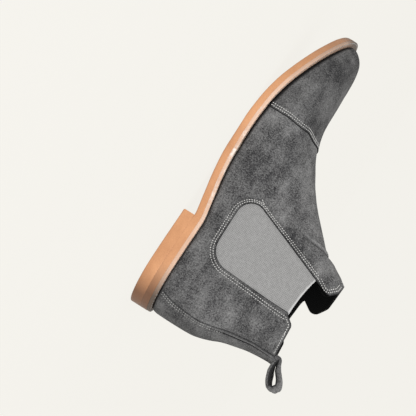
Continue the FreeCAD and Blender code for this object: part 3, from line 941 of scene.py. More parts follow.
SUEDE = SuedeFinish("suede", (0.024, 0.024, 0.026), (0.232, 0.232, 0.237), Effect.NAP, 0.95, 0.3, 0.03, 0.1)
ELASTIC = ElasticFinish("elastic", (0.17, 0.17, 0.173), (0.315, 0.315, 0.32), Effect.WEAVE, 0.88, 0.12, 0.03, 0.2,
                        values={"Ribs": 720.0, "Picks": 760.0})
LINING = Finish("lining", (0.0012, 0.0012, 0.0014), (0.004, 0.004, 0.0042), Effect.WEAVE, 0.95, 0.08, 0.0, 0.08,
                values={"Ribs": 700.0, "Picks": 700.0})
TAN = SoleFinish("tan_sole", (0.40, 0.18, 0.082), (0.61, 0.305, 0.15), Effect.GRAIN, 0.5, 0.05, 0.0, 0.4)
WELT = WeltFinish("pale_welt", (0.45, 0.27, 0.185), (0.66, 0.46, 0.35), Effect.GRAIN, 0.6, 0.05, 0.0, 0.35,
                  values={"Streak": 90.0})
THREAD = ThreadFinish("thread", (0.40, 0.40, 0.40), (0.78, 0.78, 0.77), Effect.WEAVE, 0.7, 0.03, 0.1, 0.3,
                      values={"Ribs": 2500.0, "Picks": 1800.0})
SOCK = Finish("sock_lining", (0.012, 0.012, 0.013), (0.04, 0.04, 0.042), Effect.GRAIN, 0.75, 0.08, 0.0, 0.3)
CORK = Finish("cork", (0.16, 0.09, 0.045), (0.48, 0.30, 0.16), Effect.NAP, 0.85, 0.3, 0.0, 0.3,
              values={"Cloud": 160.0})
BOARD = Finish("insole_board", (0.30, 0.24, 0.17), (0.45, 0.37, 0.27), Effect.GRAIN, 0.8, 0.05)
STIFFENER = Finish("stiffener", (0.012, 0.012, 0.012), (0.03, 0.03, 0.03), Effect.NAP, 0.9, 0.1)
STEEL = Finish("spring_steel", (0.35, 0.35, 0.36), (0.55, 0.55, 0.56), Effect.GRAIN, 0.35, 0.02, metal=1.0)


class Wardrobe:
    """The finishes in use, each built once."""

    def __init__(self) -> None:
        """Start with nothing built."""
        self.built: dict[str, bpy.types.Material] = {}

    def dress(self, piece: bpy.types.Object, finish: Finish) -> None:
        """Give a piece a finish."""
        if finish.name not in self.built:
            self.built[finish.name] = finish.build()
        piece.data.materials.clear()
        piece.data.materials.append(self.built[finish.name])


WARDROBE = Wardrobe()


def fit(piece: bpy.types.Object, finish: Finish, body: str = BOOT, nodes: Sequence[str] = ()) -> None:
    """Dress a piece, put it on its body and hide the solid parts that it stands for.

    Args:
        piece: The piece.
        finish: Its finish.
        body: The rigid body that it rides on.
        nodes: Solid parts that it replaces.
    """
    WARDROBE.dress(piece, finish)
    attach(piece, body)
    if nodes:
        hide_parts(*nodes)
    LOG.info("%s: %d faces, %s", piece.name, len(piece.data.polygons), finish.name)


# ---- upper ---------------------------------------------------------------
HEIGHTS = np.concatenate([np.linspace(0.0, 0.1, 15), np.linspace(0.1, 0.36, 48)[1:], np.linspace(0.36, 1.0, 66)[1:]])
ANGLE_STEP = 0.0105


def angles_between(first: float, last: float) -> Array:
    """Section angles at about the usual spacing."""
    return np.linspace(first, last, int(round((last - first) / ANGLE_STEP)) + 1)


def bell(distance: Array, centre: float, width: float) -> Array:
    """Smooth bump of height 1."""
    return np.exp(-((distance - centre) / width) ** 2)


@dataclass(frozen=True)
class Seams:
    """How cut edges and stitch rows look, in millimetres."""

    rows: tuple[float, float] = (2.1, 4.3)
    groove: float = 0.28
    groove_width: float = 0.55
    roll: float = 0.75
    edge_levels: tuple[float, ...] = (0.06, 0.2, 0.42, 0.75)
    row_levels: tuple[float, ...] = (1.5, 2.1, 2.7, 3.7, 4.3, 4.9)
    pitch: float = 2.05
    length: float = 1.35
    thread: float = 0.36
    row_shade: float = 0.2
    row_shade_width: float = 0.6
    edge_shade: float = 0.85
    edge_shade_width: float = 0.45

    def lift(self, distance: Array, rise: float, drop: float) -> Array:
        """Height of a panel over the skin, rolled down at its edge.

        Args:
            distance: Distance inside the panel's edge.
            rise: Height of the panel away from the edge.
            drop: Height of the foot of the cut edge.

        Returns:
            The heights.
        """
        inward = np.clip(distance, 0.0, self.roll) / self.roll
        arc = np.sqrt(np.clip(1 - (1 - inward) ** 2, 0, 1))
        return drop + (rise - drop) * arc

    def grooves(self, distance: Array, rows: Sequence[float]) -> Array:
        """Depth pulled in by the stitch rows."""
        return sum(self.groove * bell(distance, row, self.groove_width) for row in rows)

    def shade(self, distance: Array, rows: Sequence[float]) -> Array:
        """Painted shade in the stitch grooves, and darkness at the cut edge, partly its own dark colour and partly
        painted shade.
        """
        lines = sum(self.row_shade * bell(distance, row, self.row_shade_width) for row in rows)
        cut = self.edge_shade * np.exp(-np.clip(distance, 0, None) / self.edge_shade_width)
        return np.clip(cut + lines, 0, 1)


SEAMS = Seams()


ANKLE_FOLD = ((35.0, 121.5), (38.0, 115.0), (39.6, 107.0), (40.4, 98.0), (39.6, 87.0))


def ankle_fold(points: Array) -> tuple[Array, Array]:
    """Where points lie against the fold at the front of the ankle.

    Args:
        points: Points of the skin.

    Returns:
        Distance behind the fold line, and how strong the fold is there.
    """
    fold = np.array(ANKLE_FOLD)
    nearest = np.full(len(points), FAR)
    along = np.zeros(len(points))
    behind = np.ones(len(points))
    for k, (a, b) in enumerate(zip(fold, fold[1:])):
        edge = b - a
        t = np.clip(((points[:, 1:3] - a) @ edge) / (edge @ edge), 0, 1)
        gap = np.linalg.norm(points[:, 1:3] - a - t[:, None] * edge, axis=1)
        closer = gap < nearest
        nearest = np.where(closer, gap, nearest)
        along = np.where(closer, (k + t) / (len(fold) - 1), along)
        turn = edge[0] * (points[:, 2] - a[1]) - edge[1] * (points[:, 1] - a[0])
        behind = np.where(closer, np.sign(turn), behind)
    fade = 2.6
    return nearest * behind, np.clip(fade - fade * along, 0, 1)


def fold_shade(points: Array) -> Array:
    """Darkness in the bottom of the ankle fold."""
    behind, strength = ankle_fold(points)
    return 0.7 * strength * bell(behind, 0.8, 0.8)


def fold_highlight(points: Array) -> Array:
    """Painted highlight on the crest ahead of the ankle fold."""
    behind, strength = ankle_fold(points)
    return 0.9 * strength * bell(behind, -0.6, 0.55)


def handled(points: Array) -> Array:
    """Soft hand of the leather: the ankle fold and slight unevenness.

    Args:
        points: Points of the skin.

    Returns:
        Heights over the skin in millimetres.
    """
    behind, strength = ankle_fold(points)
    crest, hollow, swell = bell(behind, -1.6, 1.6), bell(behind, 0.9, 1.0), bell(behind, 6.0, 4.0)
    crease = strength * (0.8 * crest - 1.1 * hollow + 0.5 * swell)
    uneven = np.array([noise.noise(Vector(p) / 30.0) + 0.35 * noise.noise(Vector(p) / 10.0) for p in points])
    return crease + 0.4 * uneven


def over_welt(points: Array) -> Array:
    """Height over the welt, 0 at the least."""
    return np.clip(points[:, 2] - LAST.feather(points[:, 1]), 0, None)


def foot_tuck(points: Array) -> Array:
    """How far the upper turns in under itself just over the welt."""
    deepest, height = 2.5, 1.3
    return deepest * np.exp(-over_welt(points) / height)


def foot_shade(points: Array) -> Array:
    """Darkness of the crevice over the welt, taller towards the toe."""
    at_heel, more_at_toe = 1.0, 2.5
    forward = np.clip((60 - points[:, 1]) / 110, 0, 1)
    return np.exp(-(over_welt(points) / (at_heel + more_at_toe * forward)) ** 4)


@dataclass
class Panel:
    """One piece of the upper's skin."""

    name: str
    angles: tuple[float, float]
    edge: Field
    trims: list[Field]
    rise: Field
    drop: float
    rows: tuple[float, ...] = ()
    relief: Field | None = None
    sewn_edge: Field | None = None
    levels: tuple[float, ...] = ()
    heights: tuple[float, float] = (0.0, 1.0)
    # How much darker the whole panel is, through the shade mark: painted shade on the upward-facing toe cap and on
    # the back strip, a little darker on the quarters.
    tone: float = 0.0

    def build(self) -> bpy.types.Object:
        """Cut the sheet out, roll its edges and hand it over."""
        inside = HEIGHTS[(HEIGHTS >= self.heights[0]) & (HEIGHTS <= self.heights[1])]
        sheet = Sheet(angles_between(*self.angles), inside)
        for trim in self.trims:
            sheet.trim(trim)
        sheet.trim(self.edge)
        sewn = self.sewn_edge or self.edge
        for level in SEAMS.edge_levels + self.levels:
            sheet.split(self.edge, level)
        for level in SEAMS.row_levels if self.rows else ():
            sheet.split(sewn, level)
        points = sheet.ground()
        distance = self.edge(points)
        sewn_distance = sewn(points)
        lift = SEAMS.lift(distance, self.rise(points), self.drop)
        lift = lift - SEAMS.grooves(sewn_distance, self.rows) - foot_tuck(points) + handled(points)
        if self.relief is not None:
            lift = lift + self.relief(points)
        normals = LAST.normals(sheet.at[:, 0], sheet.at[:, 1])
        piece = hand_over(self.name, points + normals * lift[:, None], sheet.faces)
        # Painted shade in the stitch grooves, in the crevice over the welt and in the bottom of the ankle fold.
        shade = np.maximum(SEAMS.shade(sewn_distance, self.rows), foot_shade(points)) + fold_shade(points)
        # Dark band along stitched cut edges: partly the edge's own dark colour, partly painted shade on the
        # rolled-down edge; painted shade beside the bead too.
        cut = 0.9 * np.exp(-(np.clip(distance, 0, None) / 0.75) ** 2) if self.rows else 0.0
        shade = np.maximum(np.maximum(shade, cut), self.piping_shade(points))
        # The panel's tone adds darkness over the whole panel through the shade mark.
        mark(piece, "shade", np.clip(self.tone + shade, 0, 1))
        # Painted highlights on the crests of the bead and of the ankle fold.
        mark(piece, "painted_highlight", np.clip(self.piping_highlight(points) + fold_highlight(points), 0, 1))
        return piece

    def piping_highlight(self, points: Array) -> Array:
        """Painted highlight along the crest of the folded bead."""
        if self.relief is None:
            return np.zeros(len(points))
        return 0.45 * np.clip(self.relief(points), 0, 1) ** 2

    def piping_shade(self, points: Array) -> Array:
        """Dark lines beside the folded bead, where the panel has one."""
        if self.relief is None:
            return np.zeros(len(points))
        return np.clip(-1.5 * self.relief(points), 0, 0.9)


def level_rise(height: float) -> Field:
    """The same height everywhere."""
    return lambda points: np.full(len(points), height)


def falling_rise(distance: Field, at_edge: float, away: float, run: float) -> Field:
    """Height that settles from a lapped edge to its own level.

    Args:
        distance: Distance from the lapped edge.
        at_edge: Height at the edge.
        away: Height far from it.
        run: Distance in which it settles.

    Returns:
        A field of heights.
    """
    return lambda points: away + (at_edge - away) * np.exp(-np.clip(distance(points), 0, None) / run)


def around_gore(points: Array) -> Array:
    """Distance outside the gore opening."""
    return -OPENING.inside(points)


def vamp_edge(points: Array) -> Array:
    """Distance inside the vamp's free edges: gore opening and tab."""
    return np.minimum(around_gore(points), -OVER_TAB.inside(points))


def quarter_free_edge(points: Array) -> Array:
    """Distance inside a quarter's stitched edges: gore and top."""
    return np.minimum(around_gore(points), over_quarter(points))


def side_seam(points: Array, lap: float = 0.0) -> Array:
    """Place of the side seam along the boot, moved back by a lap below the gore."""
    return np.where(points[:, 2] < PATTERN.seam_top, PATTERN.seam_y + lap, PATTERN.gore_middle)


def quarter_edge(points: Array) -> Array:
    """Distance inside a quarter, its side seam under the gore too."""
    return np.minimum(quarter_free_edge(points), points[:, 1] - side_seam(points))


def behind_seam_lap(points: Array) -> Array:
    """Keeps the vamp ahead of the side seam and a lap under the quarter."""
    return side_seam(points, lap=6.0) - points[:, 1]


def cap_lap(points: Array) -> Array:
    """Keeps the vamp behind the cap's edge and a lap under it."""
    return 7.0 - PATTERN.cap_distance(points)


def strip_lap(points: Array) -> Array:
    """Keeps a quarter clear of the back strip but for a lap under it."""
    return 5.0 - PATTERN.strip_distance(points)


def strip_edge(points: Array) -> Array:
    """Distance inside the back strip, its top edge too."""
    return np.minimum(PATTERN.strip_distance(points), over_quarter(points))


def strip_relief(points: Array) -> Array:
    """Folded bead along the back strip's long edges, fading downwards."""
    distance = PATTERN.strip_distance(points)
    starts, run = 66.0, 16.0
    share = np.clip((points[:, 2] - starts) / run, 0, 1)
    bead, groove = bell(distance, 1.5, 0.9), bell(distance, 3.3, 0.65)
    return share * (0.9 * bead - groove)


def gore_edge(points: Array) -> Array:
    """Distance inside a gore: lapped under the suede, free at the top."""
    return np.minimum(OPENING.inside(points) + PATTERN.gore_lap, PATTERN.under_gore_top(points))


class Upper:
    """Suede panels, gores and lining."""

    gore_cut: Pair = (0.076, 0.090)
    gore_area: float = 0.0050

    def __init__(self) -> None:
        """Name the panels."""
        quarter_rise = falling_rise(lambda p: p[:, 1] - PATTERN.seam_y, 0.3, 0.0, 7.0)
        self.panels = [
            Panel("toe_cap_suede", (-math.pi * 0.6, math.pi * 0.6), PATTERN.cap_distance, [],
                  falling_rise(PATTERN.cap_distance, 1.0, 0.35, 14.0), -0.4, SEAMS.rows, tone=0.24),
            Panel("vamp_suede", (-math.pi * 0.75, math.pi * 0.75), vamp_edge, [cap_lap, behind_seam_lap],
                  level_rise(0.0), -1.9, SEAMS.rows),
            Panel("quarter_lateral_suede", (math.pi * 0.35, math.pi), quarter_edge, [strip_lap],
                  quarter_rise, -1.9, SEAMS.rows, sewn_edge=quarter_free_edge, tone=0.13),
            Panel("quarter_medial_suede", (math.pi, math.pi * 1.65), quarter_edge, [strip_lap],
                  quarter_rise, -1.9, SEAMS.rows, sewn_edge=quarter_free_edge, tone=0.13),
            Panel("back_strip_suede", (math.pi * 0.6, math.pi * 1.4), strip_edge, [],
                  level_rise(0.8), -1.9, (), strip_relief, levels=(1.1, 1.5, 1.9, 2.6, 3.3, 4.0), tone=0.3),
        ]
        self.stands_for = {
            "toe_cap_suede": ["toe_cap"],
            "vamp_suede": ["vamp", "vamp_interlining"],
            "quarter_lateral_suede": ["quarter_lateral"],
            "quarter_medial_suede": ["quarter_medial"],
            "back_strip_suede": ["back_strip"],
        }

    def build(self) -> None:
        """Build every panel, then the gores and the lining."""
        for panel in self.panels:
            piece = panel.build()
            fit(piece, SUEDE, nodes=self.stands_for[panel.name])
        self.build_gore("gore_lateral_elastic", (0.0, math.pi), "gore_lateral")
        self.build_gore("gore_medial_elastic", (math.pi, math.tau), "gore_medial")
        self.build_lining()

    def build_gore(self, name: str, angles: tuple[float, float], node: str) -> None:
        """One elastic panel, a thin closed sheet behind the opening.

        Args:
            name: Name of the piece.
            angles: Section angles of its flank.
            node: The solid part that it stands for.
        """
        sheet = Sheet(angles_between(*angles), HEIGHTS[HEIGHTS < 0.9])
        sheet.trim(gore_edge)
        for level in (0.12, 0.35, 0.8, 2.3, 2.7):
            sheet.split(gore_edge, level)
        points = sheet.ground()
        normals = LAST.normals(sheet.at[:, 0], sheet.at[:, 1])
        distance = gore_edge(points)
        depth = -1.35 - 0.45 * (1 - np.clip(distance / 0.8, 0, 1)) ** 2
        piece = hand_over(name, points + normals * depth[:, None], sheet.faces)
        top = PATTERN.under_gore_top(points)
        mark(piece, "selvedge", np.clip((1.5 - top) / 0.5, 0, 1) * 0.75)
        fit(piece, ELASTIC, nodes=[node])
        cut = sum(face.area for face in piece.data.polygons)
        LOG.info("%s: %.6f square metres", name, cut)

    def build_lining(self) -> None:
        """Black lining all round the inside, meeting the suede at the top."""
        sheet = Sheet(angles_between(0.0, math.tau), HEIGHTS[HEIGHTS >= 0.03])
        sheet.trim(topline_distance)
        for level in (0.15, 0.45, 1.0):
            sheet.split(topline_distance, level)
        points = sheet.ground()
        normals = LAST.normals(sheet.at[:, 0], sheet.at[:, 1])
        distance = topline_distance(points)
        depth = -1.7 - 1.8 * np.sqrt(np.clip(1 - (1 - np.clip(distance, 0, 1.0)) ** 2, 0, 1))
        flipped = [face[::-1] for face in sheet.faces]
        piece = hand_over("lining_twill", points + normals * depth[:, None], flipped)
        fit(piece, LINING, nodes=["vamp_lining", "quarter_lining"])


# ---- stitches ------------------------------------------------------------
class Stitching:
    """Rows of short thread stitches gathered into one mesh."""

    step: float = 0.4
    lean: float = math.radians(9)
    uneven: float = 0.3

    def __init__(self, name: str, pitch: float, length: float, thread: float) -> None:
        """Set the stitch size.

        Args:
            name: Name of the piece.
            pitch: Distance between stitches.
            length: Length of a stitch that shows.
            thread: Radius of the thread.
        """
        self.name = name
        self.pitch = pitch
        self.points: list[Array] = []
        self.faces: list[list[int]] = []
        self.dull: list[float] = []
        stations = np.array([-0.92, -0.6, 0.0, 0.6, 0.92])
        radii = np.array([0.45, 0.9, 1.0, 0.9, 0.45]) * thread
        sides = 6
        turns = np.arange(sides) * math.tau / sides
        self.shape = np.array([(s * length / 2, r * math.cos(a), r * math.sin(a) - 0.25 * thread * s * s)
                               for s, r in zip(stations, radii) for a in turns])
        self.shape_faces = tube_faces(sides, len(stations))

    def add_row(self, path: Array, normals: Array, dull: float = 0.0) -> None:
        """Lay stitches along a path.

        Args:
            path: Points along the row, on the surface.
            normals: Outward normals there.
            dull: How far the row's thread is dulled, 0 to 1.
        """
        run = run_of(path)
        for station in np.arange(self.pitch / 2, run[-1], self.pitch):
            ahead = read_along(path, run, station + self.step)
            behind = read_along(path, run, station - self.step)
            self._add(read_along(path, run, station), ahead - behind, read_along(normals, run, station))
            uneven = 0.5 + 0.5 * math.sin(7.3 * station + 2.1 * math.sin(station))
            self.dull.append(min(dull + self.uneven * uneven, 1.0))

    def _add(self, spot: Array, tangent: Array, up: Array) -> None:
        """Place one stitch, turned a little against its row."""
        tangent = tangent / np.linalg.norm(tangent)
        side = np.cross(up, tangent)
        side /= np.linalg.norm(side)
        up = np.cross(tangent, side)
        forward = math.cos(self.lean) * tangent + math.sin(self.lean) * side
        across = np.cross(up, forward)
        start = len(self.points) * len(self.shape)
        self.points.append(spot + self.shape @ np.stack([forward, across, up]))
        self.faces += [[start + v for v in face] for face in self.shape_faces]

    def build(self) -> bpy.types.Object:
        """Hand the rows over as one piece."""
        LOG.info("%s: %d stitches", self.name, len(self.points))
        piece = hand_over(self.name, np.vstack(self.points), self.faces)
        mark(piece, "dull", np.repeat(self.dull, len(self.shape)))
        return piece


def row_over_skin(spots: Array, outer: bool, height: float) -> tuple[Array, Array]:
    """Path on the skin under a line given in side view.

    Args:
        spots: Rows of y, z.
        outer: True for the outer flank.
        height: Height of the path over the skin.

    Returns:
        Points and normals along the path.
    """
    angle, v, found = LAST.locate(spots[:, 0], spots[:, 1], outer)
    angle, v = angle[found], v[found]
    points = LAST.skin(angle, v)
    normals = LAST.normals(angle, v)
    lift = height + handled(points)
    return points + normals * lift[:, None], normals


class UpperStitching:
    """All the seams of the upper, two rows along most edges."""

    fine: float = 0.8
    tacks: tuple[Corner, ...] = ((36.3, 48.9, 0.5), (37.5, 50.2, 0.5), (38.1, 51.6, 1.2),
                                 (117.6, 119.7, 0.0), (118.7, 120.3, 0.6))

    def __init__(self) -> None:
        """Start an empty set of rows."""
        self.rows = Stitching("seam_threads", SEAMS.pitch, SEAMS.length, SEAMS.thread)
        self.height = -SEAMS.groove + 0.16

    def build(self) -> None:
        """Lay every row and hand the threads over."""
        for outer in (True, False):
            for row in SEAMS.rows:
                self.add_gore(row, outer)
                self.add_cap(row, outer)
            self.add_tab(outer)
            self.add_tacks(outer)
            self.add_quarter_top(outer)
            self.add_strip(outer)
        self.add_tab_middle()
        fit(self.rows.build(), THREAD)

    def add_line(self, spots: Array, outer: bool, lift: float = 0.0) -> None:
        """One row along a line in side view."""
        path, normals = row_over_skin(resample(spots, 1.2), outer, self.height + lift)
        if len(path) > 3:
            self.rows.add_row(path, normals)

    def add_gore(self, row: float, outer: bool) -> None:
        """Row round the gore opening, at a distance from its edge."""
        corners = PATTERN.opening_corners(row, 0.0)
        path = resample(rounded(corners, closed=False, steps=14), self.fine)
        spots = np.insert(path, 0, 0.0, axis=1)
        least = row - 0.3
        clear = (-OVER_TAB.inside(spots) > least) & (-OVER_QUARTER.inside(spots) > least)
        self.add_line(path[clear], outer)

    def add_cap(self, row: float, outer: bool) -> None:
        """Row along the toe cap's edge, on the cap."""
        z = np.linspace(9, 64, 70)
        spots = np.stack([PATTERN.cap_curve(z) - row, z], axis=1)
        over = spots[:, 1] > LAST.feather(spots[:, 0]) + 1.5
        self.add_line(spots[over], outer, 0.35 + 0.65 * math.exp(-row / 14.0))

    def add_tab(self, outer: bool) -> None:
        """Two rows under the front tab's top edge."""
        edge = self.smooth_edge(PATTERN.tab_edge())
        edge = edge[edge[:, 0] > 57.0]
        for row in SEAMS.rows:
            self.add_line(self.shifted(edge, row), outer)

    def add_tab_middle(self) -> None:
        """The same two rows where they cross the front ridge."""
        angle = np.linspace(-0.47, 0.47, 90)
        for row in SEAMS.rows:
            low, high = np.full(len(angle), 0.75), np.ones(len(angle))
            for _ in range(18):
                middle = (low + high) / 2
                under = -OVER_TAB.inside(LAST.skin(angle, middle)) > row
                low, high = np.where(under, middle, low), np.where(under, high, middle)
            points = LAST.skin(angle, low)
            normals = LAST.normals(angle, low)
            lift = self.height + handled(points)
            self.rows.add_row(points + normals * lift[:, None], normals)

    def add_tacks(self, outer: bool) -> None:
        """Short back tacks: at the gore's front foot and where the top row starts."""
        for y, z, lean in self.tacks:
            run = np.linspace(-1.1, 1.1, 5)[:, None] * np.array([math.cos(lean), math.sin(lean)])
            path, normals = row_over_skin(np.array([y, z]) + run, outer, self.height + 0.35)
            self.rows.add_row(path, normals)

    def add_quarter_top(self, outer: bool) -> None:
        """One row under the quarter's top edge."""
        edge = self.smooth_edge(PATTERN.quarter_edge())
        line = self.shifted(edge, SEAMS.rows[0])
        angle, v, found = LAST.locate(line[:, 0], line[:, 1], outer)
        points = LAST.skin(angle, v)
        free = found & (PATTERN.strip_distance(points) < -1.0)
        self.add_line(line[free], outer)

    def add_strip(self, outer: bool) -> None:
        """Two rows inside the back strip's long edge, in its lower half."""
        side = 1.0 if outer else -1.0
        for row in (1.5, 3.4):
            z = np.linspace(21, 78, 90)
            back = LAST.ends()[1]
            radius = PATTERN.back_radius
            edge = np.minimum(PATTERN.strip_curve(z), radius * PATTERN.back_limit)
            x = radius * np.sin(np.arcsin(edge / radius) - row / radius)
            angle = self.angle_for(x, z, side)
            v = LAST.share(back(0.3), z)
            points = LAST.skin(angle, v)
            normals = LAST.normals(angle, v)
            lift = self.height + 0.9 + handled(points)
            self.rows.add_row(points + normals * lift[:, None], normals, dull=0.5)

    @staticmethod
    def angle_for(x: Array, z: Array, side: float) -> Array:
        """Section angles near the back where the skin is x from the middle."""
        v = LAST.share(np.full(len(z), 140.0), z)
        low = np.full(len(z), math.pi - 1.2)
        high = np.full(len(z), math.pi)
        for _ in range(24):
            middle = (low + high) / 2
            angle = middle if side > 0 else math.tau - middle
            here = np.abs(LAST.skin(angle, v)[:, 0])
            low = np.where(here > x, middle, low)
            high = np.where(here > x, high, middle)
        return low if side > 0 else math.tau - low

    def smooth_edge(self, corners: list[Corner]) -> Array:
        """Finely spaced points along an open edge."""
        return resample(rounded(corners, closed=False, steps=10), self.fine)

    @staticmethod
    def shifted(edge: Array, distance: float) -> Array:
        """A line moved down into its panel by a distance."""
        run = np.gradient(edge, axis=0)
        run /= np.linalg.norm(run, axis=1, keepdims=True) + 1e-9
        return edge + np.stack([run[:, 1], -run[:, 0]], axis=1) * distance


# ---- sole ----------------------------------------------------------------
@dataclass
class SolePlan:
    """Plan of the sole and the rings that its layers are made of."""

    points: int = 480

    def ring(self, inset: float | Array, height: Callable[[Array], Array], squeeze: float = 1.0) -> Array:
        """Closed ring at an inset from the outsole's edge.

        Args:
            inset: Distance inwards from the edge, one or one for each angle.
            height: Height for rows of y.
            squeeze: Share of the width kept, 0 on the middle line.

        Returns:
            One row of x, y, z for each section angle.
        """
        angle = np.arange(self.points) * math.tau / self.points
        u = (1 - np.cos(angle)) / 2
        plain = -LAST.half + 2 * LAST.half * u
        wide = np.where(np.sin(angle) >= 0, LAST.sole_lateral(u), LAST.sole_medial(u)) - inset
        x = LAST.middle_curve(plain) + squeeze * wide * np.sin(angle)
        y = plain + inset * np.cos(angle)
        return np.stack([x, y, height(y)], axis=1)

    def loft(self, name: str, rings: Sequence[Array], close_first: bool, close_last: bool) -> bpy.types.Object:
        """Skin through rings, its ends closed across the middle.

        Args:
            name: Name of the piece.
            rings: The rings, in order.
            close_first: Close over the first ring.
            close_last: Close over the last ring.

        Returns:
            The piece.
        """
        n = len(rings[0])
        faces = tube_faces(n, len(rings), capped=False)
        for closed, base, turn in ((close_first, 0, -1), (close_last, (len(rings) - 1) * n, 1)):
            if closed:
                faces += [self.across(base, n, j)[::turn] for j in range(n // 2)]
        return hand_over(name, np.vstack(rings), faces)

    @staticmethod
    def across(base: int, n: int, j: int) -> list[int]:
        """Face from one side of a ring to the other."""
        ring = [base + j, base + j + 1, base + (n - j - 1) % n, base + (n - j) % n]
        return list(dict.fromkeys(ring))


class Sole:
    """Outsole, welt and heel block."""

    # How dark the ends get: painted shade at the heel's back, darker at the toe tip.
    darkening: float = 0.92
    dry_middle: float = 22.0
    dry_reach: float = 42.0
    breast_hollow: float = 3.5

    def __init__(self) -> None:
        """Make the plan."""
        self.plan = SolePlan()

    def build(self) -> None:
        """Build the three visible layers and the welt stitches."""
        self.build_outsole()
        self.build_welt()
        self.build_heel()
        self.build_welt_stitches()

    def over(self, height: float) -> Callable[[Array], Array]:
        """Height function at a distance over the underside."""
        return lambda y: LAST.underside(y) + height

    def above_tread(self, height: float) -> Callable[[Array], Array]:
        """Height function that leaves the tread and settles on the outsole's own layers."""
        share = height / LAST.outsole
        return lambda y: (1 - share) * LAST.tread_line(y) + share * (LAST.underside(y) + LAST.outsole)

    def build_outsole(self) -> None:
        """Tan outsole with rounded edges."""
        rings = [self.plan.ring(3.0, LAST.tread_line, s) for s in (0.02, 0.35, 0.7, 0.92, 1.0)]
        thick = LAST.outsole
        free = self.ahead_of_heel()
        for inset, height in ((1.6, 0.02), (0.7, 0.18), (0.25, 0.5), (0.05, 1.0), (0.0, 1.7), (0.0, thick - 0.5),
                              (0.03, thick - 0.2), (0.1, thick - 0.04), (0.3, thick)):
            rounding = free if height < 1.8 else 1.0
            rings.append(self.plan.ring(inset * rounding, self.above_tread(height)))
        rings += [self.plan.ring(8.0, self.over(thick), s) for s in (1.0, 0.5, 0.02)]
        piece = self.plan.loft("outsole_leather", rings, True, True)
        self.shade_ends(piece)
        fit(piece, TAN, nodes=["outsole"])

    def ahead_of_heel(self) -> Array:
        """1 ahead of the heel block and 0 over it, for each section angle."""
        y = self.plan.ring(0.0, self.over(0.0))[:, 1]
        return np.clip((LAST.breast + 1.5 - y) / 3.0, 0, 1)

    def shade_ends(self, piece: bpy.types.Object) -> None:
        """Darken the edge towards the toe tip, and paint shade on the heel's back."""
        count = len(piece.data.vertices)
        flat = np.empty(count * 3)
        piece.data.vertices.foreach_get("co", flat)
        y = flat.reshape(-1, 3)[:, 1] / MM
        # Painted shade on the heel's back.
        back = np.clip((y - 118) / 29, 0, 1) ** 1.4
        # Darker towards the toe tip.
        toe = 0.45 * np.clip((-y - 60) / 60, 0, 1) + 0.55 * np.clip((-y - 132) / 12, 0, 1)
        mark(piece, "shade", np.clip(back + toe, 0, 1) * self.darkening)
        mark(piece, "dry", bell(y, self.dry_middle, self.dry_reach))

    def build_welt(self) -> None:
        """Pale strip between outsole and upper, grooved for its stitches."""
        low = LAST.outsole + LAST.glue
        top = LAST.stack
        profile = ((8.0, low + 0.1), (0.5, low - 0.12), (0.22, low - 0.12), (0.2, low + 0.2), (0.2, top - 0.9),
                   (0.32, top - 0.4), (0.62, top - 0.08), (1.1, top - 0.05), (1.6, top - 0.4), (2.1, top - 0.05),
                   (2.8, top), (9.0, top))
        rings = [self.plan.ring(inset, self.over(height)) for inset, height in profile]
        piece = self.plan.loft("welt_leather", rings, False, False)
        self.shade_ends(piece)
        fit(piece, WELT, nodes=["welt"])

    def build_heel(self) -> None:
        """Heel block with a hollowed breast and softened edges."""
        outline = self.heel_outline()
        rings = []
        for inset, height in ((6.0, 0.0), (1.4, 0.0), (0.6, 0.15), (0.18, 0.5), (0.0, 1.1)):
            ring = self.drawn_in(outline, inset)
            rings.append(np.column_stack([ring, np.full(len(ring), height)]))
        for inset, drop in ((0.0, 0.9), (0.0, 0.25), (0.06, 0.02)):
            ring = self.drawn_in(outline, inset)
            rings.append(np.column_stack([ring, LAST.tread_line(ring[:, 1]) - drop]))
        points = np.vstack(rings)
        piece = hand_over("heel_block_leather", points, tube_faces(len(outline), len(rings)))
        # Painted shade on the hollowed breast under the arch, and on the heel's back.
        breast = np.clip((LAST.breast + 4.2 - points[:, 1]) / 1.5, 0, 1) * (np.abs(points[:, 0]) < 33.5)
        back = np.clip((points[:, 1] - 130) / 20, 0, 1) ** 1.6 * 0.85
        mark(piece, "shade", np.clip(breast * 0.8 + back, 0, 1))
        self.sharpen(piece)
        fit(piece, TAN, nodes=["heel_block"])

    @staticmethod
    def sharpen(piece: bpy.types.Object) -> None:
        """Keep flat faces flat where edges turn sharply."""
        with bpy.context.temp_override(object=piece, selected_editable_objects=[piece], active_object=piece):
            bpy.ops.object.shade_smooth_by_angle(angle=math.radians(40))

    def heel_outline(self) -> Array:
        """Closed plan of the heel block, anticlockwise from its outer front corner."""
        ring = self.plan.ring(0.0, self.over(0.0))[:, :2]
        kept = ring[ring[:, 1] > LAST.breast]
        outer, inner = kept[0], kept[-1]
        t = np.linspace(0, 1, 25)[1:-1]
        x = inner[0] + (outer[0] - inner[0]) * t
        y = LAST.breast + self.breast_hollow * 4 * t * (1 - t)
        front = np.column_stack([x, y])
        return np.vstack([[(outer[0] - 0.2, LAST.breast)], kept, [(inner[0] + 0.2, LAST.breast)], front])

    @staticmethod
    def drawn_in(outline: Array, inset: float) -> Array:
        """Outline moved inwards along its normals."""
        along = np.roll(outline, -1, axis=0) - np.roll(outline, 1, axis=0)
        along /= np.linalg.norm(along, axis=1, keepdims=True) + 1e-9
        inward = np.stack([-along[:, 1], along[:, 0]], axis=1)
        return outline + inward * inset

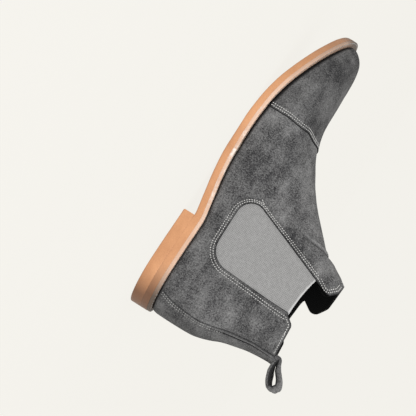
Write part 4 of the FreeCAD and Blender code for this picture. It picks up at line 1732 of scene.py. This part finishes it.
    def build_welt_stitches(self) -> None:
        """Outsole stitches in the welt's groove."""
        rows = Stitching("welt_threads", pitch=3.6, length=2.7, thread=0.42)
        ring = self.plan.ring(1.75, self.over(LAST.stack - 0.2))
        path = np.vstack([ring, ring[:1]])
        slope = np.gradient(LAST.underside(path[:, 1])) / (np.gradient(path[:, 1]) + 1e-9)
        normals = np.stack([np.zeros(len(path)), -np.clip(slope, -1, 1), np.ones(len(path))], axis=1)
        normals /= np.linalg.norm(normals, axis=1, keepdims=True)
        rows.add_row(path, normals, dull=0.45)
        fit(rows.build(), THREAD)


# ---- inside --------------------------------------------------------------
class Inside:
    """Padded footbed, and the finishes of the parts closed in under it."""

    hidden: dict[str, Finish] = {
        "insole_board": BOARD, "cork_filler": CORK, "shank": STEEL, "toe_puff": STIFFENER,
        "heel_counter": STIFFENER, "quarter_interlining": STIFFENER,
        "loop_anchor": SUEDE, **{f"heel_nail_{k}": STEEL for k in range(1, 6)}}

    def build(self) -> None:
        """Make the footbed and dress the hidden parts."""
        for node, finish in self.hidden.items():
            WARDROBE.dress(bpy.data.objects[node], finish)
            LOG.info("%s: %s", node, finish.name)
        self.build_footbed()

    def build_footbed(self) -> None:
        """Padded black sock lining, crowned a little."""
        count, depth, crown = 240, 3.9, 5.9
        angle = np.arange(count) * math.tau / count
        low = np.full(count, 0.04)
        foot = LAST.skin(angle, low) - LAST.normals(angle, low) * depth
        top = LAST.stack + crown
        middle = LAST.middle_curve(foot[:, 1])
        rings = []
        for squeeze, drop in ((1.0, 3.0), (1.0, 1.2), (0.985, 0.5), (0.95, 0.12), (0.88, 0.0), (0.6, 0.0),
                              (0.3, 0.1), (0.02, 0.1)):
            x = middle + (foot[:, 0] - middle) * squeeze
            y = foot[:, 1] * (1 - (1 - squeeze) * 0.02)
            rings.append(np.stack([x, y, LAST.underside(y) + top - drop], axis=1))
        piece = SolePlan(points=count).loft("footbed_sock", rings, False, True)
        fit(piece, SOCK, nodes=["footbed"])


# ---- pull loop -----------------------------------------------------------
@dataclass
class PullLoop:
    """Suede ribbon folded into a drop, sewn in at the top of the back."""

    width: float = 13.5
    thick: float = 4.0
    length: float = 24.8
    bulge: float = 12.4
    lean: float = math.radians(28)
    tail: float = 7.0
    sag: Pair = (0.9, -1.3)
    twist: float = math.radians(18)
    rim: float = 0.8

    def hinge(self) -> Pair:
        """Place of the fold, from the joint."""
        joint = next(j for j in frame["joints"] if j["name"] == "pull_loop_fold")
        return joint["pos_m"][1] / MM, joint["pos_m"][2] / MM

    def centre_line(self) -> tuple[Array, Array]:
        """Ribbon's middle in side view, from one sewn end to the other.

        Returns:
            Rows of y and z, and the run of each point past the fold.
        """
        half = self.bulge / 2 - self.thick / 2
        reach = self.length - self.thick / 2
        ply = self.thick / 2
        steps = [(-self.tail, ply * 0.55), (-2.5, ply * 0.7), (1.5, ply * 0.95), (5.0, ply + 0.5),
                 (10.0, half * 0.78), (16.0, half), (21.0, half * 0.84), (reach - 1.1, half * 0.45)]
        upper = np.array(steps)
        knots = np.vstack([upper, [[reach, 0.0]], upper[::-1] * (1, -1)])
        fine = self.smooth(knots)
        c, s = math.cos(self.lean), math.sin(self.lean)
        turned = np.stack([c * fine[:, 0] - s * fine[:, 1], s * fine[:, 0] + c * fine[:, 1]], axis=1)
        hung = np.stack([-fine[:, 1], fine[:, 0]], axis=1)
        past = np.clip((fine[:, 0] + 2.0) / 4.0, 0, 1)[:, None]
        dropped = np.clip(fine[:, 0] / 8.0, 0, 1)[:, None] * np.array(self.sag)
        return np.array(self.hinge()) + hung * (1 - past) + turned * past + dropped, fine[:, 0]

    @staticmethod
    def smooth(knots: Array) -> Array:
        """Dense smooth line through knots."""
        padded = np.vstack([2 * knots[0] - knots[1], knots, 2 * knots[-1] - knots[-2]])
        t = np.linspace(0, 1, 9)[:-1, None]
        pieces = []
        for a, b, c, d in zip(padded, padded[1:], padded[2:], padded[3:]):
            pieces.append(0.5 * (2 * b + (c - a) * t + (2 * a - 5 * b + 4 * c - d) * t ** 2
                                 + (3 * b - a - 3 * c + d) * t ** 3))
        return np.vstack(pieces + [knots[-1:]])

    def section(self) -> Array:
        """Ribbon's cross-section as across and thickness, corners rounded."""
        turns = np.linspace(0, math.tau, 36, endpoint=False)
        across = np.sign(np.cos(turns)) * np.abs(np.cos(turns)) ** 0.3 * self.width / 2
        deep = np.sign(np.sin(turns)) * np.abs(np.sin(turns)) ** 0.65 * self.thick / 2
        return np.stack([across, deep], axis=1)

    def build(self) -> None:
        """Sweep the ribbon and bend it over the hinge."""
        line, past = self.centre_line()
        run = np.gradient(line, axis=0)
        run /= np.linalg.norm(run, axis=1, keepdims=True)
        side = np.stack([-run[:, 1], run[:, 0]], axis=1)
        section = self.section()
        rings = [np.column_stack([section[:, 0] * (1 + 0.02 * math.sin(k * 0.35)), spot + section[:, 1:2] * out])
                 for k, (spot, out) in enumerate(zip(line, side))]
        n = len(section)
        points = self.twisted(np.vstack(rings), np.repeat(past, n))
        piece = hand_over("pull_loop_suede", points, tube_faces(n, len(rings)))
        edge = np.clip((np.abs(np.tile(section[:, 0], len(rings))) - self.width / 2 + self.rim) / self.rim, 0, 1)
        inner = np.tile(section[:, 1] < -0.2, len(rings)) * np.repeat(past > 0, n)
        mark(piece, "shade", np.maximum(0.3 * edge, 0.9 * inner))
        WARDROBE.dress(piece, SUEDE)
        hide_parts("pull_loop")
        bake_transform(piece)
        LOG.info("pull loop: %d faces", len(piece.data.polygons))

    def twisted(self, points: Array, past: Array) -> Array:
        """Points turned about the loop's own length, more towards its end.

        Args:
            points: Points of the ribbon.
            past: Run of each point past the fold.

        Returns:
            The turned points.
        """
        y, z = self.hinge()
        axis = np.array([0.0, math.cos(self.lean), math.sin(self.lean)])
        origin = np.array([0.0, y + self.sag[0], z + self.sag[1]])
        angle = self.twist * np.clip(past / 9.0, 0, 1)
        arm = points - origin
        c, s = np.cos(angle)[:, None], np.sin(angle)[:, None]
        level = (arm @ axis)[:, None] * axis
        return origin + arm * c + np.cross(axis, arm) * s + level * (1 - c)


# ---- studio --------------------------------------------------------------
@dataclass
class Studio:
    """Pale floor, soft light and the camera."""

    azimuth: float = 110.0
    elevation: float = 7.0
    roll: float = 121.6
    distance: float = 950.0
    view: float = 350.168
    target: tuple[float, float, float] = (0.0, 7.5, 63.2)
    offset: Pair = (68.182, 8.418)
    sensor: float = 36.0
    floor_radius: float = 6000.0
    floor_points: int = 96
    floor_drop: float = 0.05
    light_distance: float = 1.3
    backdrop: Colour = (0.896, 0.880, 0.831)

    def build(self) -> None:
        """Set the stage."""
        self.build_floor()
        self.build_world()
        self.build_lights()
        self.build_camera()

    def build_floor(self) -> None:
        """Large pale disc under the boot."""
        turns = np.linspace(0, math.tau, self.floor_points, endpoint=False)
        ring = np.stack([np.cos(turns) * self.floor_radius, np.sin(turns) * self.floor_radius,
                         np.full(self.floor_points, -self.floor_drop)], axis=1)
        floor = hand_over("floor", ring, [list(range(self.floor_points))], smooth=False)
        material = bpy.data.materials.new("floor_paper")
        material.use_nodes = True
        bench = NodeBench(material.node_tree)
        shader = material.node_tree.nodes["Principled BSDF"]
        grain = bench.noise(bench.place(), 40.0, 3.0, 0.5)
        tone = bench.blend(grain, (0.030, 0.029, 0.028), (0.034, 0.033, 0.032))
        bench.join(tone, shader.inputs["Base Color"])
        shader.inputs["Roughness"].default_value = 1.0
        shader.inputs["Specular IOR Level"].default_value = 0.0
        shader.inputs["Emission Color"].default_value = (*self.backdrop, 1.0)
        shader.inputs["Emission Strength"].default_value = 0.965
        floor.data.materials.append(material)

    def build_world(self) -> None:
        """Even pale surroundings."""
        world = bpy.data.worlds.new("studio")
        world.use_nodes = True
        background = world.node_tree.nodes["Background"]
        background.inputs["Color"].default_value = (*self.backdrop, 1.0)
        background.inputs["Strength"].default_value = 1.0
        bpy.context.scene.world = world

    def build_lights(self) -> None:
        """A broad key from ahead and above, and a weak fill."""
        for name, azimuth, elevation, power, size in (("key", 112, 26, 11.0, 0.9), ("fill", 20, 60, 2.0, 1.0)):
            light = bpy.data.lights.new(name, "AREA")
            light.energy = power
            light.size = size
            lamp = bpy.data.objects.new(name, light)
            bpy.context.scene.collection.objects.link(lamp)
            out = self.outward(azimuth, elevation)
            lamp.location = out * self.light_distance
            lamp.rotation_euler = (-out).to_track_quat("-Z", "Y").to_euler()

    @staticmethod
    def outward(azimuth: float, elevation: float) -> Vector:
        """Direction from the boot for an azimuth and an elevation in degrees."""
        a, e = math.radians(azimuth), math.radians(elevation)
        return Vector((math.sin(a) * math.cos(e), -math.cos(a) * math.cos(e), math.sin(e)))

    def build_camera(self) -> None:
        """Camera at its angle, rolled about its own axis."""
        back = self.outward(self.azimuth, self.elevation)
        level = (-back).cross(Vector((0, 0, 1))).normalized()
        rise = level.cross(-back)
        r = math.radians(-self.roll)
        right = level * math.cos(r) - rise * math.sin(r)
        up = level * math.sin(r) + rise * math.cos(r)
        dx, dy = self.offset
        place = Vector(self.target) + back * self.distance - right * dx - up * dy
        camera = bpy.data.cameras.new("camera")
        camera.sensor_width = self.sensor
        camera.lens = self.sensor * self.distance / self.view
        camera.clip_start = 0.01
        holder = bpy.data.objects.new("camera", camera)
        bpy.context.scene.collection.objects.link(holder)
        turn = Matrix((right, up, back)).transposed().to_4x4()
        holder.matrix_world = Matrix.Translation(place * MM) @ turn
        bpy.context.scene.camera = holder


def main() -> None:
    """Build the boot from the ground up, then the studio."""
    logging.basicConfig(level=logging.INFO, format="%(name)s: %(message)s")
    Sole().build()
    Upper().build()
    UpperStitching().build()
    Inside().build()
    PullLoop().build()
    Studio().build()
    bpy.context.scene.view_settings.view_transform = "Standard"


if __name__ == "__main__":
    main()
